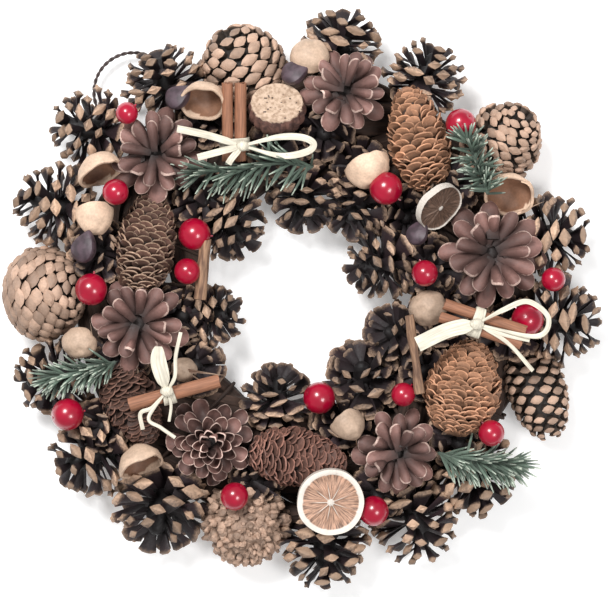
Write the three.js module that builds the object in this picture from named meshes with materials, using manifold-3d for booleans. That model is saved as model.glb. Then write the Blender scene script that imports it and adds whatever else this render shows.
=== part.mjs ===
// A dried cone and fruit wreath, lying on its back. Millimetres, +Z up.
//
// A flat-backed ring of bound vine carries everything else, which is glued to it in three layers:
// open pine cones round its outer and inner edge, long and closed cones on its top, and the
// flower-like cones, dried fruit, cinnamon bundles, cups and berries above those.
// The placements are measured from the middle of the ring. The finished group is moved so that its
// origin is the middle of the wreath's footprint, on the surface that it rests on.
import * as THREE from "three";
import { mergeVertices } from "three/addons/utils/BufferGeometryUtils.js";
import Module from "manifold-3d";

// ---------------------------------------------------------------- driving dimensions
const GAP = 0.35; // between a piece and the neighbour that it is shaped to
const RING = { middle: 86, halfWidth: 32, height: 24, foot: 24, segments: 48 };
const HANGER = { x: -87, y: 105, z: 8, radius: 20, wire: 1.0, spread: 26, tail: 14 };
const ROUND_SIDES = 10; // facets round a cone or a berry
const OPEN_SHARE = 0.9; // an open cone's solid, as a share of its reach at the scale tips
const CUP_WALL = 1.8;
const STICK_BORE = 0.42; // of a cinnamon stick's radius
const STRAND = 1.1; // radius of a raffia strand
const STRAND_SIDES = 6;
const STRAND_STEPS = 14;
const NEEDLE = { root: 0.75, tip: 0.3, length: 17, lean: 0.75, sides: 4 };
const STEM = 0.9; // radius of a sprig's stem

// ---------------------------------------------------------------- where things are
// at: middle of the piece. to: the way its tip or its face points. r: radius. half: half its length.
const FLOWER_CONES = [
  { at: [-74, 72, 45], to: [-0.1, 0.1, 1], r: 24, half: 15 },
  { at: [20, 104, 45], to: [0.1, 0.15, 1], r: 22, half: 15 },
  { at: [93, 23, 45], to: [0.05, 0, 1], r: 27, half: 16 },
  { at: [-83, -12, 45], to: [-0.05, 0.1, 1], r: 24, half: 15 },
  { at: [-47, -71, 44], to: [0, -0.1, 1], r: 22, half: 15 },
  { at: [46, -76, 44], to: [0.1, -0.1, 1], r: 22, half: 15 },
];
const LONG_CONES = [
  { at: [-79, 29, 36], to: [0.15, 1, 0], r: 15, half: 26 },
  { at: [57, 81, 36], to: [-0.22, 1, 0], r: 14, half: 27 },
  { at: [79, -43, 40], to: [0.25, 1, 0], r: 19, half: 24 },
  { at: [-3, -79, 36], to: [1, -0.15, 0], r: 15, half: 25 },
  { at: [-86, -53, 34], to: [0.45, -1, 0], r: 14, half: 22 },
];
const CLOSED_CONES = [
  { at: [-31, 117, 23], to: [-0.4, 0.8, 0.45], r: 21, half: 22 },
  { at: [-130, 3, 25], to: [0.9, 0.05, 0.35], r: 23, half: 20 },
  { at: [99, 79, 24], to: [0.55, 0.65, 0.5], r: 19, half: 22 },
  { at: [-30, -113, 22], to: [-0.1, -0.7, 0.7], r: 20, half: 20 },
  { at: [117, -47, 19], to: [0.3, -0.95, 0.1], r: 15, half: 25 },
];
const OPEN_CONES = [
  { at: [-71, 111, 22], to: [-0.35, 0.9, 0.15], r: 19, half: 17 }, // round the outer edge
  { at: [-109, 86, 21], to: [-1, 0.15, 0.05], r: 18, half: 20 },
  { at: [-127, 48, 21], to: [-0.9, 0.3, 0.1], r: 19, half: 20 },
  { at: [18, 129, 21], to: [0.1, 1, 0.15], r: 19, half: 18 },
  { at: [61, 113, 21], to: [0.35, 0.9, 0.1], r: 18, half: 18 },
  { at: [125, 32, 21], to: [1, -0.1, 0.05], r: 19, half: 19 },
  { at: [129, -11, 21], to: [1, -0.1, 0.2], r: 20, half: 21 },
  { at: [86, -90, 20], to: [0.6, -0.8, 0], r: 19, half: 20 },
  { at: [56, -113, 20], to: [0.3, -0.95, 0.05], r: 19, half: 21 },
  { at: [10, -126, 21], to: [0.1, -1, 0.15], r: 20, half: 20 },
  { at: [-73, -106, 23], to: [-0.15, -0.8, 0.5], r: 22, half: 21 },
  { at: [-108, -78, 21], to: [-0.85, -0.4, 0.2], r: 20, half: 21 },
  { at: [-128, -39, 20], to: [-1, -0.25, 0.1], r: 18, half: 19 },
  { at: [-37, 37, 22], to: [0.5, -0.6, 0.4], r: 17, half: 17 }, // round the hole
  { at: [0, 50, 22], to: [0.1, -0.75, 0.5], r: 17, half: 17 },
  { at: [26, 46, 24], to: [-0.4, -0.6, 0.6], r: 16, half: 17 },
  { at: [37, 18, 23], to: [-0.8, -0.25, 0.4], r: 17, half: 18 },
  { at: [-46, -8, 20], to: [0.9, 0.1, 0.2], r: 15, half: 16 },
  { at: [-14, -48, 22], to: [0.15, 0.8, 0.5], r: 16, half: 17 },
  { at: [29, -38, 24], to: [-0.1, 0.5, 0.8], r: 18, half: 17 },
];
const CUPS = [
  { at: [-101, 62, 45], to: [0.35, -0.8, 0.35], r: 12, depth: 11 },
  { at: [30, 68, 42], to: [-0.2, 0.5, -0.8], r: 12, depth: 13 },
  { at: [101, 51, 46], to: [-0.1, -0.4, 0.9], r: 13, depth: 10 },
  { at: [-81, -83, 46], to: [0.35, -0.75, 0.3], r: 12, depth: 11 },
];
const BERRIES = [
  { at: [-55, 32.5, 42], r: 8 },
  { at: [-106, 5, 47], r: 8 },
  { at: [7, -49, 37], r: 8 },
  { at: [40, 55, 47], r: 8.2 },
  { at: [110, -10, 48], r: 8 },
];
const CITRUS_SLICES = [
  { at: [12.5, -100, 49], to: [0.05, -0.12, 1], r: 16.5, thick: 5 },
  { at: [66, 46, 50], to: [0.6, -0.55, 0.6], r: 12.5, thick: 4 },
];
const CUT_POD = { at: [-14, 92, 41], to: [0, 0.62, 0.78], r: 13, tall: 17 };
// A bundle's sticks lie side by side, glued along their length: at is the middle of each.
const CINNAMON_BUNDLES = [
  { sticks: [[-38.2, 88, 46], [-31.8, 88, 46]], to: [0, 1, 0.2], r: 3.5, length: 39 },
  { sticks: [[-64.5, -46, 53]], to: [0.97, 0.26, 0], r: 4.2, length: 46 },
  { sticks: [[88.2, -9.2, 60], [86.1, -15.15, 60]], to: [0.95, -0.32, 0], r: 3.5, length: 42 },
];
// Each strand runs from the knot, out, and back to it or to a free end.
const RAFFIA_BOWS = [
  {
    knot: [-31, 76, 50],
    strands: [
      [[-31, 76, 50], [-48, 81, 54], [-63, 83, 57], [-66, 78, 59], [-52, 73, 54], [-31, 76, 50]],
      [[-31, 76, 50], [-14, 80, 52], [1, 79, 52], [4, 73, 51], [-12, 71, 51], [-31, 76, 50]],
    ],
  },
  {
    knot: [-68, -45, 59],
    strands: [
      [[-68, -45, 59], [-74, -35, 61], [-76, -25, 63], [-71, -23, 63], [-67, -34, 61], [-68, -45, 59]],
      [[-68, -45, 59], [-63, -33, 61], [-61, -15, 63]],
      [[-68, -45, 59], [-75, -54, 57], [-80, -58, 55], [-80, -68, 53]],
    ],
  },
  {
    knot: [84, -12, 65],
    strands: [
      [[84, -12, 65], [97, -5, 66], [109, -1, 66], [119, -10, 65], [111, -19, 64], [84, -12, 65]],
      [[84, -12, 65], [70, -13, 64], [57, -17, 62], [55, -24, 62], [70, -20, 63], [84, -12, 65]],
      [[84, -12, 65], [97, -22, 63], [110, -32, 58]],
    ],
  },
];
const KNOT = 3.4; // radius of a bow's knot
// A sprig's stem, and how many pairs of needles it bears.
const SPRIGS = [
  { stem: [[4, 66, 44], [-16, 68, 43], [-34, 64, 42], [-50, 64, 48]], pairs: 9 },
  { stem: [[-99, -31, 46], [-112, -36, 46], [-126, -40, 41]], pairs: 7 },
  { stem: [[90, 52, 58], [85, 66, 55], [78, 80, 54]], pairs: 7 },
  { stem: [[66, -76, 48], [84, -80, 45], [101, -81, 40]], pairs: 8 },
];

const COLOURS = {
  vine: 0x5a4332,
  wire: 0x6b5a48,
  flowerCone: 0x7a5850,
  longCone: 0xa5765a,
  closedCone: 0xb0917a,
  openCone: 0x4a3632,
  cup: 0xcdb5a2,
  berry: 0xb8102c,
  citrus: 0xe6dace,
  pod: 0xc9b3a0,
  cinnamon: 0xb07a55,
  raffia: 0xe9dfc8,
  needle: 0x5d776a,
};

const wasm = await Module();
wasm.setup();
const UP = new THREE.Vector3(0, 1, 0); // a lathe's own axis

// ---------------------------------------------------------------- shapes
// Each shape function takes grow, which enlarges it all round, for cutting its place in a neighbour.

const point = (r, y) => new THREE.Vector2(Math.max(r, 0), y);

const lathe = (profile, sides = ROUND_SIDES) => new THREE.LatheGeometry(profile, sides);

// An egg on Y, its stem at -Y and its tip at +Y. taper makes the stem end the fuller one.
function egg(r, half, taper, rings, grow) {
  const profile = [];
  for (let i = 0; i <= rings; i++) {
    const angle = (i / rings) * Math.PI;
    const fullness = 1 + taper * (Math.cos(angle) - 0.15);
    profile.push(point((r + grow) * Math.sin(angle) * fullness, -(half + grow) * Math.cos(angle)));
  }
  profile[0].x = 0;
  profile[rings].x = 0;
  return lathe(profile);
}

// A cone opened flat like a flower: widest just under its shallow dished top.
function flower({ r, half }, grow) {
  const top = half + grow;
  const wide = r * OPEN_SHARE + grow;
  return lathe([
    point(0, -top),
    point(0.5 * wide, -0.85 * top),
    point(0.92 * wide, -0.1 * top),
    point(wide, 0.35 * top),
    point(0.75 * wide, 0.75 * top),
    point(0.3 * wide, top),
    point(0, 0.9 * top),
  ]);
}

const openCone = ({ r, half }, grow) => egg(r * OPEN_SHARE, half, 0.22, 7, grow);
const longCone = ({ r, half }, grow) => egg(r, half, 0.2, 8, grow);
const closedCone = ({ r, half }, grow) => egg(r, half, 0.12, 8, grow);
const berry = ({ r }, grow) => new THREE.SphereGeometry(r + grow, ROUND_SIDES, 7);

// A half cup whose mouth faces +Y. Its cutter is the filled cup.
function cup({ r, depth }, grow) {
  const steps = 4;
  const arc = (radius, deep) =>
    Array.from({ length: steps + 1 }, (_, i) => {
      const angle = (i / steps) * (Math.PI / 2);
      return point(radius * Math.sin(angle), -deep * Math.cos(angle));
    });
  const outside = arc(r + grow, depth + grow);
  if (grow > 0) return lathe([...outside, point(r + grow, grow), point(0, grow)]);
  return lathe([...outside, ...arc(r - CUP_WALL, depth - CUP_WALL).reverse()]);
}

function slice({ r, thick }, grow) {
  const edge = r + grow;
  const face = thick / 2 + grow;
  const bevel = thick / 3;
  return lathe(
    [
      point(0, -face),
      point(edge - bevel, -face),
      point(edge, -face + bevel),
      point(edge, face - bevel),
      point(edge - bevel, face),
      point(0, face),
    ],
    20,
  );
}

// A dried fruit cut across: a round-bottomed body with a flat cut face at +Y.
function cutPod({ r, tall }, grow) {
  const half = tall / 2 + grow;
  const wide = r + grow;
  return lathe(
    [point(0, -half), point(0.6 * wide, -0.9 * half), point(0.92 * wide, 0), point(wide, half), point(0, half)],
    14,
  );
}

// A cinnamon quill, open from end to end. Its cutter is solid.
function stick({ r, length }, grow) {
  const half = length / 2 + grow;
  const wide = r + grow;
  if (grow > 0) return lathe([point(0, -half), point(wide, -half), point(wide, half), point(0, half)]);
  const bore = r * STICK_BORE;
  return lathe([
    point(bore, -half),
    point(wide, -half),
    point(wide, half),
    point(bore, half),
    point(bore, -half),
  ]);
}

// A round strand along a curve, as an extrusion, with sides facets.
function strand(curve, radius, steps, sides) {
  const section = new THREE.Shape(
    Array.from({ length: sides }, (_, i) => {
      const angle = (i / sides) * 2 * Math.PI;
      return new THREE.Vector2(radius * Math.cos(angle), radius * Math.sin(angle));
    }),
  );
  return new THREE.ExtrudeGeometry(section, { steps, extrudePath: curve, bevelEnabled: false });
}

const curveThrough = (points) =>
  new THREE.CatmullRomCurve3(points.map((p) => new THREE.Vector3(...p)), false, "centripetal");

// The ring's section: a flat foot, bulging sides and a round back.
function vineRing(grow) {
  const { middle, halfWidth, height, foot } = RING;
  const wide = halfWidth + grow;
  const top = height + grow;
  const arc = [];
  const steps = 6;
  for (let i = 0; i <= steps; i++) {
    const angle = (i / steps) * Math.PI;
    arc.push(new THREE.Vector2(middle + wide * Math.cos(angle), 0.35 * height + (top - 0.35 * height) * Math.sin(angle)));
  }
  const footing = [new THREE.Vector2(middle - foot - grow, -grow), new THREE.Vector2(middle + foot + grow, -grow)];
  const profile = [...footing, ...arc, footing[0].clone()];
  return lathe(profile, RING.segments);
}

// A loop of wire whose two tails run into the ring.
function hangerCurve() {
  const { x, y, z, radius, spread, tail } = HANGER;
  const inward = Math.atan2(-y, -x);
  const open = THREE.MathUtils.degToRad(spread / 2);
  const steps = 12;
  const points = [];
  for (let i = 0; i <= steps; i++) {
    const angle = inward + open + (i / steps) * (2 * Math.PI - 2 * open);
    points.push([x + radius * Math.cos(angle), y + radius * Math.sin(angle), z]);
  }
  const ahead = [Math.cos(inward) * tail, Math.sin(inward) * tail];
  const first = [points[0][0] + ahead[0], points[0][1] + ahead[1], z];
  const last = [points[steps][0] + ahead[0], points[steps][1] + ahead[1], z];
  return curveThrough([first, ...points, last]);
}

// ---------------------------------------------------------------- solids
const CORNER = 1e-4;

function solidOf(geometry) {
  const bare = geometry.index ? geometry.toNonIndexed() : geometry.clone();
  const positions = new THREE.BufferGeometry().setAttribute("position", bare.getAttribute("position"));
  const merged = mergeVertices(positions, CORNER);
  const make = (indices) =>
    new wasm.Manifold(
      new wasm.Mesh({
        numProp: 3,
        vertProperties: merged.attributes.position.array,
        triVerts: new Uint32Array(indices),
      }),
    );
  const indices = Array.from(merged.index.array);
  const solid = make(indices);
  return solid.volume() > 0 ? solid : make(indices.reverse());
}

function geometryOf(solid) {
  const mesh = solid.getMesh();
  const corners = new Float32Array(mesh.numVert * 3);
  for (let i = 0; i < mesh.numVert; i++) {
    corners.set(mesh.vertProperties.subarray(i * mesh.numProp, i * mesh.numProp + 3), i * 3);
  }
  const geometry = new THREE.BufferGeometry();
  geometry.setAttribute("position", new THREE.BufferAttribute(corners, 3));
  geometry.setIndex(new THREE.BufferAttribute(new Uint32Array(mesh.triVerts), 1));
  return geometry;
}

const biggest = (solid) => solid.decompose().sort((a, b) => b.volume() - a.volume())[0];

const joined = (geometries) => geometries.map(solidOf).reduce((whole, next) => whole.add(next));

// A bundle in place. Each bore is open from end to end.
function bundle({ sticks, to, r, length }, grow) {
  const laid = sticks.map((at) => stick({ r, length }, grow).applyMatrix4(placeOf({ at, to })));
  return joined(laid);
}

// A raffia bow in place: its strands and its knot, joined.
function bow({ knot, strands }, grow) {
  const tie = new THREE.SphereGeometry(KNOT + grow, 8, 6).translate(...knot);
  const ribbons = strands.map((points) =>
    strand(curveThrough(points), STRAND + grow, STRAND_STEPS, STRAND_SIDES),
  );
  return joined([tie, ...ribbons]);
}

// A needle that starts a little inside the stem and leaves it along its own direction.
function needleAt(from, direction, grow) {
  const { root, tip, length, sides } = NEEDLE;
  const whole = length + 2 * grow;
  const turn = new THREE.Quaternion().setFromUnitVectors(UP, direction);
  const geometry = new THREE.CylinderGeometry(tip + grow, root + grow, whole, sides).translate(0, whole / 2 - grow, 0);
  return geometry.applyQuaternion(turn).translate(...from.toArray());
}

// A sprig in place: its stem, and needles that lean towards its tip on both sides and upwards.
function sprig({ stem, pairs }, grow) {
  const curve = curveThrough(stem);
  const geometries = [strand(curve, STEM + grow, 8, STRAND_SIDES)];
  for (let i = 0; i < pairs; i++) {
    const along = (i + 0.6) / pairs;
    const from = curve.getPointAt(along);
    const ahead = curve.getTangentAt(along);
    const across = new THREE.Vector3().crossVectors(ahead, new THREE.Vector3(0, 0, 1)).normalize();
    for (const side of [-1, 1]) {
      const direction = across.clone().multiplyScalar(side).addScaledVector(ahead, NEEDLE.lean);
      direction.z = 0.18 + 0.2 * ((i % 3) - 1);
      geometries.push(needleAt(from, direction.normalize(), grow));
    }
  }
  return joined(geometries);
}

const placeOf = ({ at, to }) => {
  const matrix = new THREE.Matrix4();
  const turn = new THREE.Quaternion();
  if (to) turn.setFromUnitVectors(UP, new THREE.Vector3(...to).normalize());
  return matrix.compose(new THREE.Vector3(...at), turn, new THREE.Vector3(1, 1, 1));
};

// ---------------------------------------------------------------- assembly
const STAND = { at: [0, 0, 0], to: [0, 0, 1] }; // a lathe about Z
const FLAT = { at: [0, 0, 0] }; // made in place

// A piece: its name, finish, place and solid for a given growth, in the wreath's own frame.
const turned = (name, colour, spec, shape) => ({
  name,
  colour,
  place: placeOf(spec),
  solid: (grow) => solidOf(shape(spec, grow).applyMatrix4(placeOf(spec))),
});

const family = (name, colour, specs, shape) => specs.map((spec, i) => turned(`${name}_${i + 1}`, colour, spec, shape));

// What stands first keeps its whole shape, and what follows is shaped to it.
const pieces = [
  {
    name: "hanger_loop",
    colour: COLOURS.wire,
    place: placeOf(FLAT),
    solid: (grow) => solidOf(strand(hangerCurve(), HANGER.wire + grow, 40, 8)),
  },
  {
    name: "base_ring",
    colour: COLOURS.vine,
    place: placeOf(STAND),
    solid: (grow) => solidOf(vineRing(grow).applyMatrix4(placeOf(STAND))),
  },
  ...RAFFIA_BOWS.map((spec, i) => ({
    name: `raffia_bow_${i + 1}`,
    colour: COLOURS.raffia,
    place: placeOf(FLAT),
    solid: (grow) => bow(spec, grow),
  })),
  ...family("berry", COLOURS.berry, BERRIES, berry),
  ...CINNAMON_BUNDLES.map((spec, i) => ({
    name: `cinnamon_bundle_${i + 1}`,
    colour: COLOURS.cinnamon,
    place: placeOf({ at: spec.sticks[0], to: spec.to }),
    solid: (grow) => bundle(spec, grow),
  })),
  ...family("citrus_slice", COLOURS.citrus, CITRUS_SLICES, slice),
  turned("cut_pod", COLOURS.pod, CUT_POD, cutPod),
  ...family("cup", COLOURS.cup, CUPS, cup),
  ...family("flower_cone", COLOURS.flowerCone, FLOWER_CONES, flower),
  ...family("long_cone", COLOURS.longCone, LONG_CONES, longCone),
  ...family("closed_cone", COLOURS.closedCone, CLOSED_CONES, closedCone),
  ...family("open_cone", COLOURS.openCone, OPEN_CONES, openCone),
  ...SPRIGS.map((spec, i) => ({
    name: `sprig_${i + 1}`,
    colour: COLOURS.needle,
    place: placeOf(FLAT),
    solid: (grow) => sprig(spec, grow),
  })),
];

const near = (a, b) => {
  const one = a.boundingBox();
  const two = b.boundingBox();
  return [0, 1, 2].every((k) => one.min[k] < two.max[k] && two.min[k] < one.max[k]);
};

const assembly = new THREE.Group();
const standing = [];
for (const { name, colour, place, solid } of pieces) {
  const whole = solid(0);
  const cut = standing.filter((other) => near(whole, other)).reduce((rest, other) => rest.subtract(other), whole);
  standing.push(solid(GAP));
  const geometry = geometryOf(biggest(cut)).applyMatrix4(place.clone().invert());
  const material = new THREE.MeshStandardMaterial({ color: colour, roughness: 0.75, metalness: 0 });
  const mesh = new THREE.Mesh(geometry, material);
  mesh.name = name;
  place.decompose(mesh.position, mesh.quaternion, mesh.scale);
  assembly.add(mesh);
}

// The origin is the middle of the footprint, at the foot of the ring.
const footprint = new THREE.Box3().setFromObject(assembly, true);
const middle = footprint.getCenter(new THREE.Vector3());
assembly.position.set(-middle.x, -middle.y, -footprint.min.z);

const wreath = new THREE.Group();
wreath.add(assembly);

export default wreath;
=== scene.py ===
"""The look of a dried cone and fruit wreath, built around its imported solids.

Lengths in the tables are millimetres, from the middle of the ring, with +Z out of its face.
Each piece is modelled on +Z at the origin, then turned and put in its place.
"""

import math
import random

import bmesh
import bpy
from bpy.props import FloatProperty, FloatVectorProperty, IntProperty, PointerProperty
from mathutils import Matrix, Vector, noise


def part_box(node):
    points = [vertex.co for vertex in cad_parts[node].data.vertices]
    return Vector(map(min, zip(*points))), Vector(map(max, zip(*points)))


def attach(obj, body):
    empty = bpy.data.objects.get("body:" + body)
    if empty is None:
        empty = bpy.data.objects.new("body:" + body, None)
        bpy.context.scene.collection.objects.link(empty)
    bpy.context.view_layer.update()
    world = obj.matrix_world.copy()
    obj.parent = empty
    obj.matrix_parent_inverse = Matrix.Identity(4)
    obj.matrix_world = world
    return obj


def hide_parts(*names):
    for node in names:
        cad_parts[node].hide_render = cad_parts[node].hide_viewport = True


bl_info = {
    "name": "Dried Wreath",
    "version": (1, 0, 0),
    "blender": (4, 5, 0),
    "location": "View3D > Sidebar > Wreath",
    "description": "Builds a wreath of cones, dried fruit, cinnamon and berries",
    "category": "Add Mesh",
}

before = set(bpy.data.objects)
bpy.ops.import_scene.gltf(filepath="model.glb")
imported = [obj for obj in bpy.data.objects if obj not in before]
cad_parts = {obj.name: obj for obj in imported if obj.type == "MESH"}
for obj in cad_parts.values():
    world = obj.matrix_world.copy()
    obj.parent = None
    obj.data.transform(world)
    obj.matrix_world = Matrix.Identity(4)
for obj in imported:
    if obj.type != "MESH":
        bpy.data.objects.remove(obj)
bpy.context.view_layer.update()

MM = 0.001
GOLDEN = math.pi * (3 - math.sqrt(5))
UP = Vector((0, 0, 1))


def middle_of(node):
    low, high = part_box(node)
    return (Vector(low) + Vector(high)) / 2


# The tables' zero, in the row frame: a berry's box gives it, because a berry is round.
ZERO = middle_of("berry_2") - Vector((-106, 5, 47)) * MM


# ---------------------------------------------------------------- where things are
# (at, the way it points, radius, half length), in the order of the solids' numbers.
FLOWER_CONES = [
    ((-74, 72, 45), (-0.1, 0.1, 1), 24, 15),
    ((20, 104, 45), (0.1, 0.15, 1), 22, 15),
    ((93, 23, 45), (0.05, 0, 1), 27, 16),
    ((-83, -12, 45), (-0.05, 0.1, 1), 24, 15),
    ((-47, -71, 44), (0, -0.1, 1), 22, 15),
    ((46, -76, 44), (0.1, -0.1, 1), 22, 15),
]
# An open cone's scale: its width, length and thickness, as shares of the cone's radius, and its
# slopes from the stem to the tip.
OPEN_SCALE = (0.42, 0.86, 0.44)
OPEN_LIFT = (-34, 56, 1.1)
# This flower cone has more rows of scales, which are cupped and have pale rims.
MANY_ROWS = 5
# A long cone's scale: its width, length and thickness, as shares of the cone's radius.
LONG_SCALE = (0.6, 0.5, 0.5)
FINE_SCALE = (0.44, 0.4, 0.4)
# The last three are how many scales, their size and their colours.
LONG_CONES = [
    ((-79, 29, 36), (0.15, 1, 0), 15, 26, 230, LONG_SCALE, "dull"),
    ((56, 81, 36), (-0.22, 1, 0), 15.5, 27, 190, LONG_SCALE, "warm"),
    ((79, -43, 40), (0.25, 1, 0), 19, 24, 330, FINE_SCALE, "warm"),
    ((-3, -79, 36), (1, -0.15, 0), 15, 25, 250, LONG_SCALE, "ruddy"),
    ((-86, -53, 34), (0.45, -1, 0), 14, 22, 220, LONG_SCALE, "dusky"),
]
# The last four are how many plates, their width and thickness as shares of the cone's radius, and
# how loosely they are set. The fourth cone has knobs in place of plates.
CLOSED_CONES = [
    ((-31, 117, 23), (-0.4, 0.8, 0.45), 21, 22, 104, 0.35, 0.28, 0.04),
    ((-130, 3, 25), (0.9, 0.05, 0.35), 23, 20, 150, 0.3, 0.27, 0.035),
    ((99, 79, 24), (0.55, 0.65, 0.5), 19, 22, 176, 0.28, 0.23, 0.08),
    ((-30, -113, 22), (-0.1, -0.7, 0.7), 20, 20, 430, 0.2, 0.18, 0.2),
    ((117, -47, 19), (0.3, -0.95, 0.1), 15, 25, 100, 0.33, 0.27, 0.035),
]
KNOBBLY = 4
OPEN_CONES = [
    ((-71, 111, 22), (-0.35, 0.9, 0.15), 19, 17),
    ((-109, 86, 21), (-1, 0.15, 0.05), 18, 20),
    ((-127, 48, 21), (-0.9, 0.3, 0.1), 19, 20),
    ((18, 129, 21), (0.1, 1, 0.15), 19, 18),
    ((61, 113, 21), (0.35, 0.9, 0.1), 18, 18),
    ((125, 32, 21), (1, -0.1, 0.05), 19, 19),
    ((129, -11, 21), (1, -0.1, 0.2), 20, 21),
    ((86, -90, 20), (0.6, -0.8, 0), 19, 20),
    ((56, -113, 20), (0.3, -0.95, 0.05), 19, 21),
    ((10, -126, 21), (0.1, -1, 0.15), 20, 20),
    ((-73, -106, 23), (-0.15, -0.8, 0.5), 22, 21),
    ((-108, -78, 21), (-0.85, -0.4, 0.2), 20, 21),
    ((-128, -39, 20), (-1, -0.25, 0.1), 18, 19),
    ((-37, 37, 22), (0.5, -0.6, 0.4), 17, 17),
    ((0, 50, 22), (0.1, -0.75, 0.5), 17, 17),
    ((26, 46, 24), (-0.4, -0.6, 0.6), 16, 17),
    ((37, 18, 23), (-0.8, -0.25, 0.4), 17, 18),
    ((-46, -8, 20), (0.9, 0.1, 0.2), 15, 16),
    ((-14, -48, 22), (0.15, 0.8, 0.5), 16, 17),
    ((29, -38, 24), (-0.1, 0.5, 0.8), 18, 17),
]
# Small dark cones pushed in between the others.
FILLER_CONES = [
    ((46, -17, 26), (-0.5, 0.1, 0.8), 16, 16),
    ((-52, 50, 28), (0.2, -0.2, 1), 15, 14),
    ((-12, 76, 28), (0.1, -0.2, 1), 16, 14),
    ((62, 16, 26), (-0.2, 0.1, 1), 15, 14),
    ((70, -8, 25), (0, 0.1, 1), 16, 13),
    ((104, -15, 28), (0.2, 0, 1), 15, 14),
    ((20, -62, 24), (0, 0.2, 1), 15, 12),
    ((-56, -33, 23), (0.3, 0, 1), 15, 13),
    ((-24, -92, 28), (0, 0, 1), 13, 13),
    ((-104, 24, 30), (-0.2, 0, 1), 15, 14),
    ((-50, 92, 25), (0, 0.1, 1), 15, 13),
    ((-92, -30, 28), (-0.2, -0.1, 1), 14, 14),
    ((36, -97, 26), (0, -0.3, 1), 14, 13),
    ((70, 56, 30), (-0.1, -0.1, 1), 15, 14),
    ((-100, -62, 28), (-0.2, -0.2, 1), 14, 13),
    ((76, -70, 26), (0.2, -0.4, 1), 15, 14),
    ((9, 84, 27), (0.1, -0.2, 1), 15, 13),
    ((26, 66, 25), (-0.2, 0, 1), 14, 12),
    ((50, 42, 25), (0.1, -0.2, 1), 14, 12),
    ((-62, -8, 25), (0.2, 0, 1), 14, 12),
    ((60, -36, 26), (-0.1, 0.1, 1), 14, 12),
]
# The last number is how pale a shell is.
CUPS = [
    ((-101, 62, 45), (0.4, -0.8, 0.35), 12, 11, 0.8),
    ((30, 68, 42), (-0.35, 0.85, -0.35), 12, 13, 1.0),
    ((101, 51, 46), (0, -0.6, 0.8), 13, 10, 0.9),
    ((-81, -83, 46), (0.35, -0.75, 0.3), 12, 11, 0.7),
]
SHELLS = [
    ((-105, 44, 40), (-0.1, 0.85, -0.5), 10, 13, 0.95),
    ((-51, 97, 47), (-0.1, -0.65, 0.75), 11.5, 12, 0.75),
    ((2, 120, 40), (0, -0.5, -0.8), 10, 10, 0.6),
    ((61, -4, 42), (0.1, 0.3, -1), 9.5, 9, 0.4),
    ((-112, -21, 42), (0.2, 0.5, -0.9), 9, 8, 0.5),
    ((20, -60, 44), (-0.5, 0.7, -0.5), 9, 11, 0.35),
    ((-60, -35, 44), (0.2, 0, -1), 6.5, 7, 0.2),
]
# (at, radius)
BERRIES = [
    ((-55, 32.5, 42), 8),
    ((-106, 5, 47), 8),
    ((7, -49, 37), 8),
    ((40, 55, 47), 8.2),
    ((110, -10, 48), 8),
]
SMALL_BERRIES = [
    ((-88, 92, 52), 5.5),
    ((-93.5, 53, 54), 6.5),
    ((-58.5, 14, 44), 6.5),
    ((-118, -57, 42), 8),
    ((-35, -97.5, 46), 7),
    ((77, 87, 48), 7.5),
    ((59, 13, 52), 6.5),
    ((123, 10, 45), 6),
    ((48.5, -47, 48), 6),
    ((92, -66, 50), 6.5),
    ((34, -105, 42), 7.5),
]
# (middles of the sticks, direction, radius, length)
CINNAMON = [
    ([(-38.2, 88, 46), (-31.8, 88, 46)], (0, 1, 0.2), 3.5, 39),
    ([(-64.5, -46, 53)], (0.97, 0.26, 0), 4.2, 46),
    ([(88.2, -9.2, 60), (86.1, -15.15, 60)], (0.95, -0.32, 0), 3.5, 42),
]
# (knot, [(ribbon's width, the points it runs through from the knot)]). A loop ends at the knot again.
BOWS = [
    (
        (-31, 76, 50),
        [
            (3.6, [(-48, 81, 54), (-63, 84, 58)]),
            (3.4, [(-42, 73, 54), (-53, 70, 55)]),
            (3.4, [(-14, 80, 53), (-2, 80, 54), (4, 77, 54), (1, 73, 53), (-12, 71, 52), (-31, 76, 50)]),
            (3.2, [(-36, 70, 52), (-38, 67, 51)]),
        ],
    ),
    (
        (-68, -45, 59),
        [
            (8.0, [(-70, -38, 62), (-72, -30, 63), (-72, -23, 62)]),
            (1.8, [(-64, -38, 62), (-63.5, -28, 63), (-61, -16, 64)]),
            (2.0, [(-75, -53, 58), (-81, -56, 57), (-80, -64, 55)]),
            (1.8, [(-77, -58, 58), (-71, -63, 57), (-64, -68, 56)]),
            (1.4, [(-66, -52, 58), (-67, -60, 57)]),
        ],
    ),
    (
        (84, -12, 65),
        [
            (2.6, [(97, -5, 67), (109, -1, 67), (119, -9, 66), (113, -18, 65), (84, -12, 65)]),
            (7.5, [(70, -15, 65), (55, -22, 63)]),
            (2.0, [(97, -17, 64), (110, -20, 63)]),
            (2.0, [(99, -21, 63), (112, -35, 58)]),
        ],
    ),
]
# A ribbon wider than this narrows to a point, like a leaf.
LEAF = 7.8
# (at, direction of the face, radius, thickness, where the rind starts as a share of the radius, how
# pale the walls are, how bright the rind and the flesh are beside their own colours)
CITRUS = [
    ((12.5, -100, 49), (0.05, -0.12, 1), 16.5, 5, 0.8, 0.8, 0.9, 1),
    ((66, 46, 50), (0.6, -0.55, 0.6), 12.5, 4, 0.91, 0.4, 0.8, 0.32),
]
# (at, direction of the cut face, radius, height)
CUT_POD = ((-14, 92, 41), (0, 0.62, 0.78), 13, 17)
# (at, direction, length, radius)
PODS = [
    ((-108, 26, 47), (0.3, 1, 0.2), 17, 6.5),
    ((-4, 112, 44), (0.8, 0.5, 0.2), 16, 6),
    ((57, 33, 47), (0.5, 1, 0), 14, 5.5),
    ((-62, 100, 44), (0.7, 0.6, 0.3), 15, 6),
]
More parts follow.
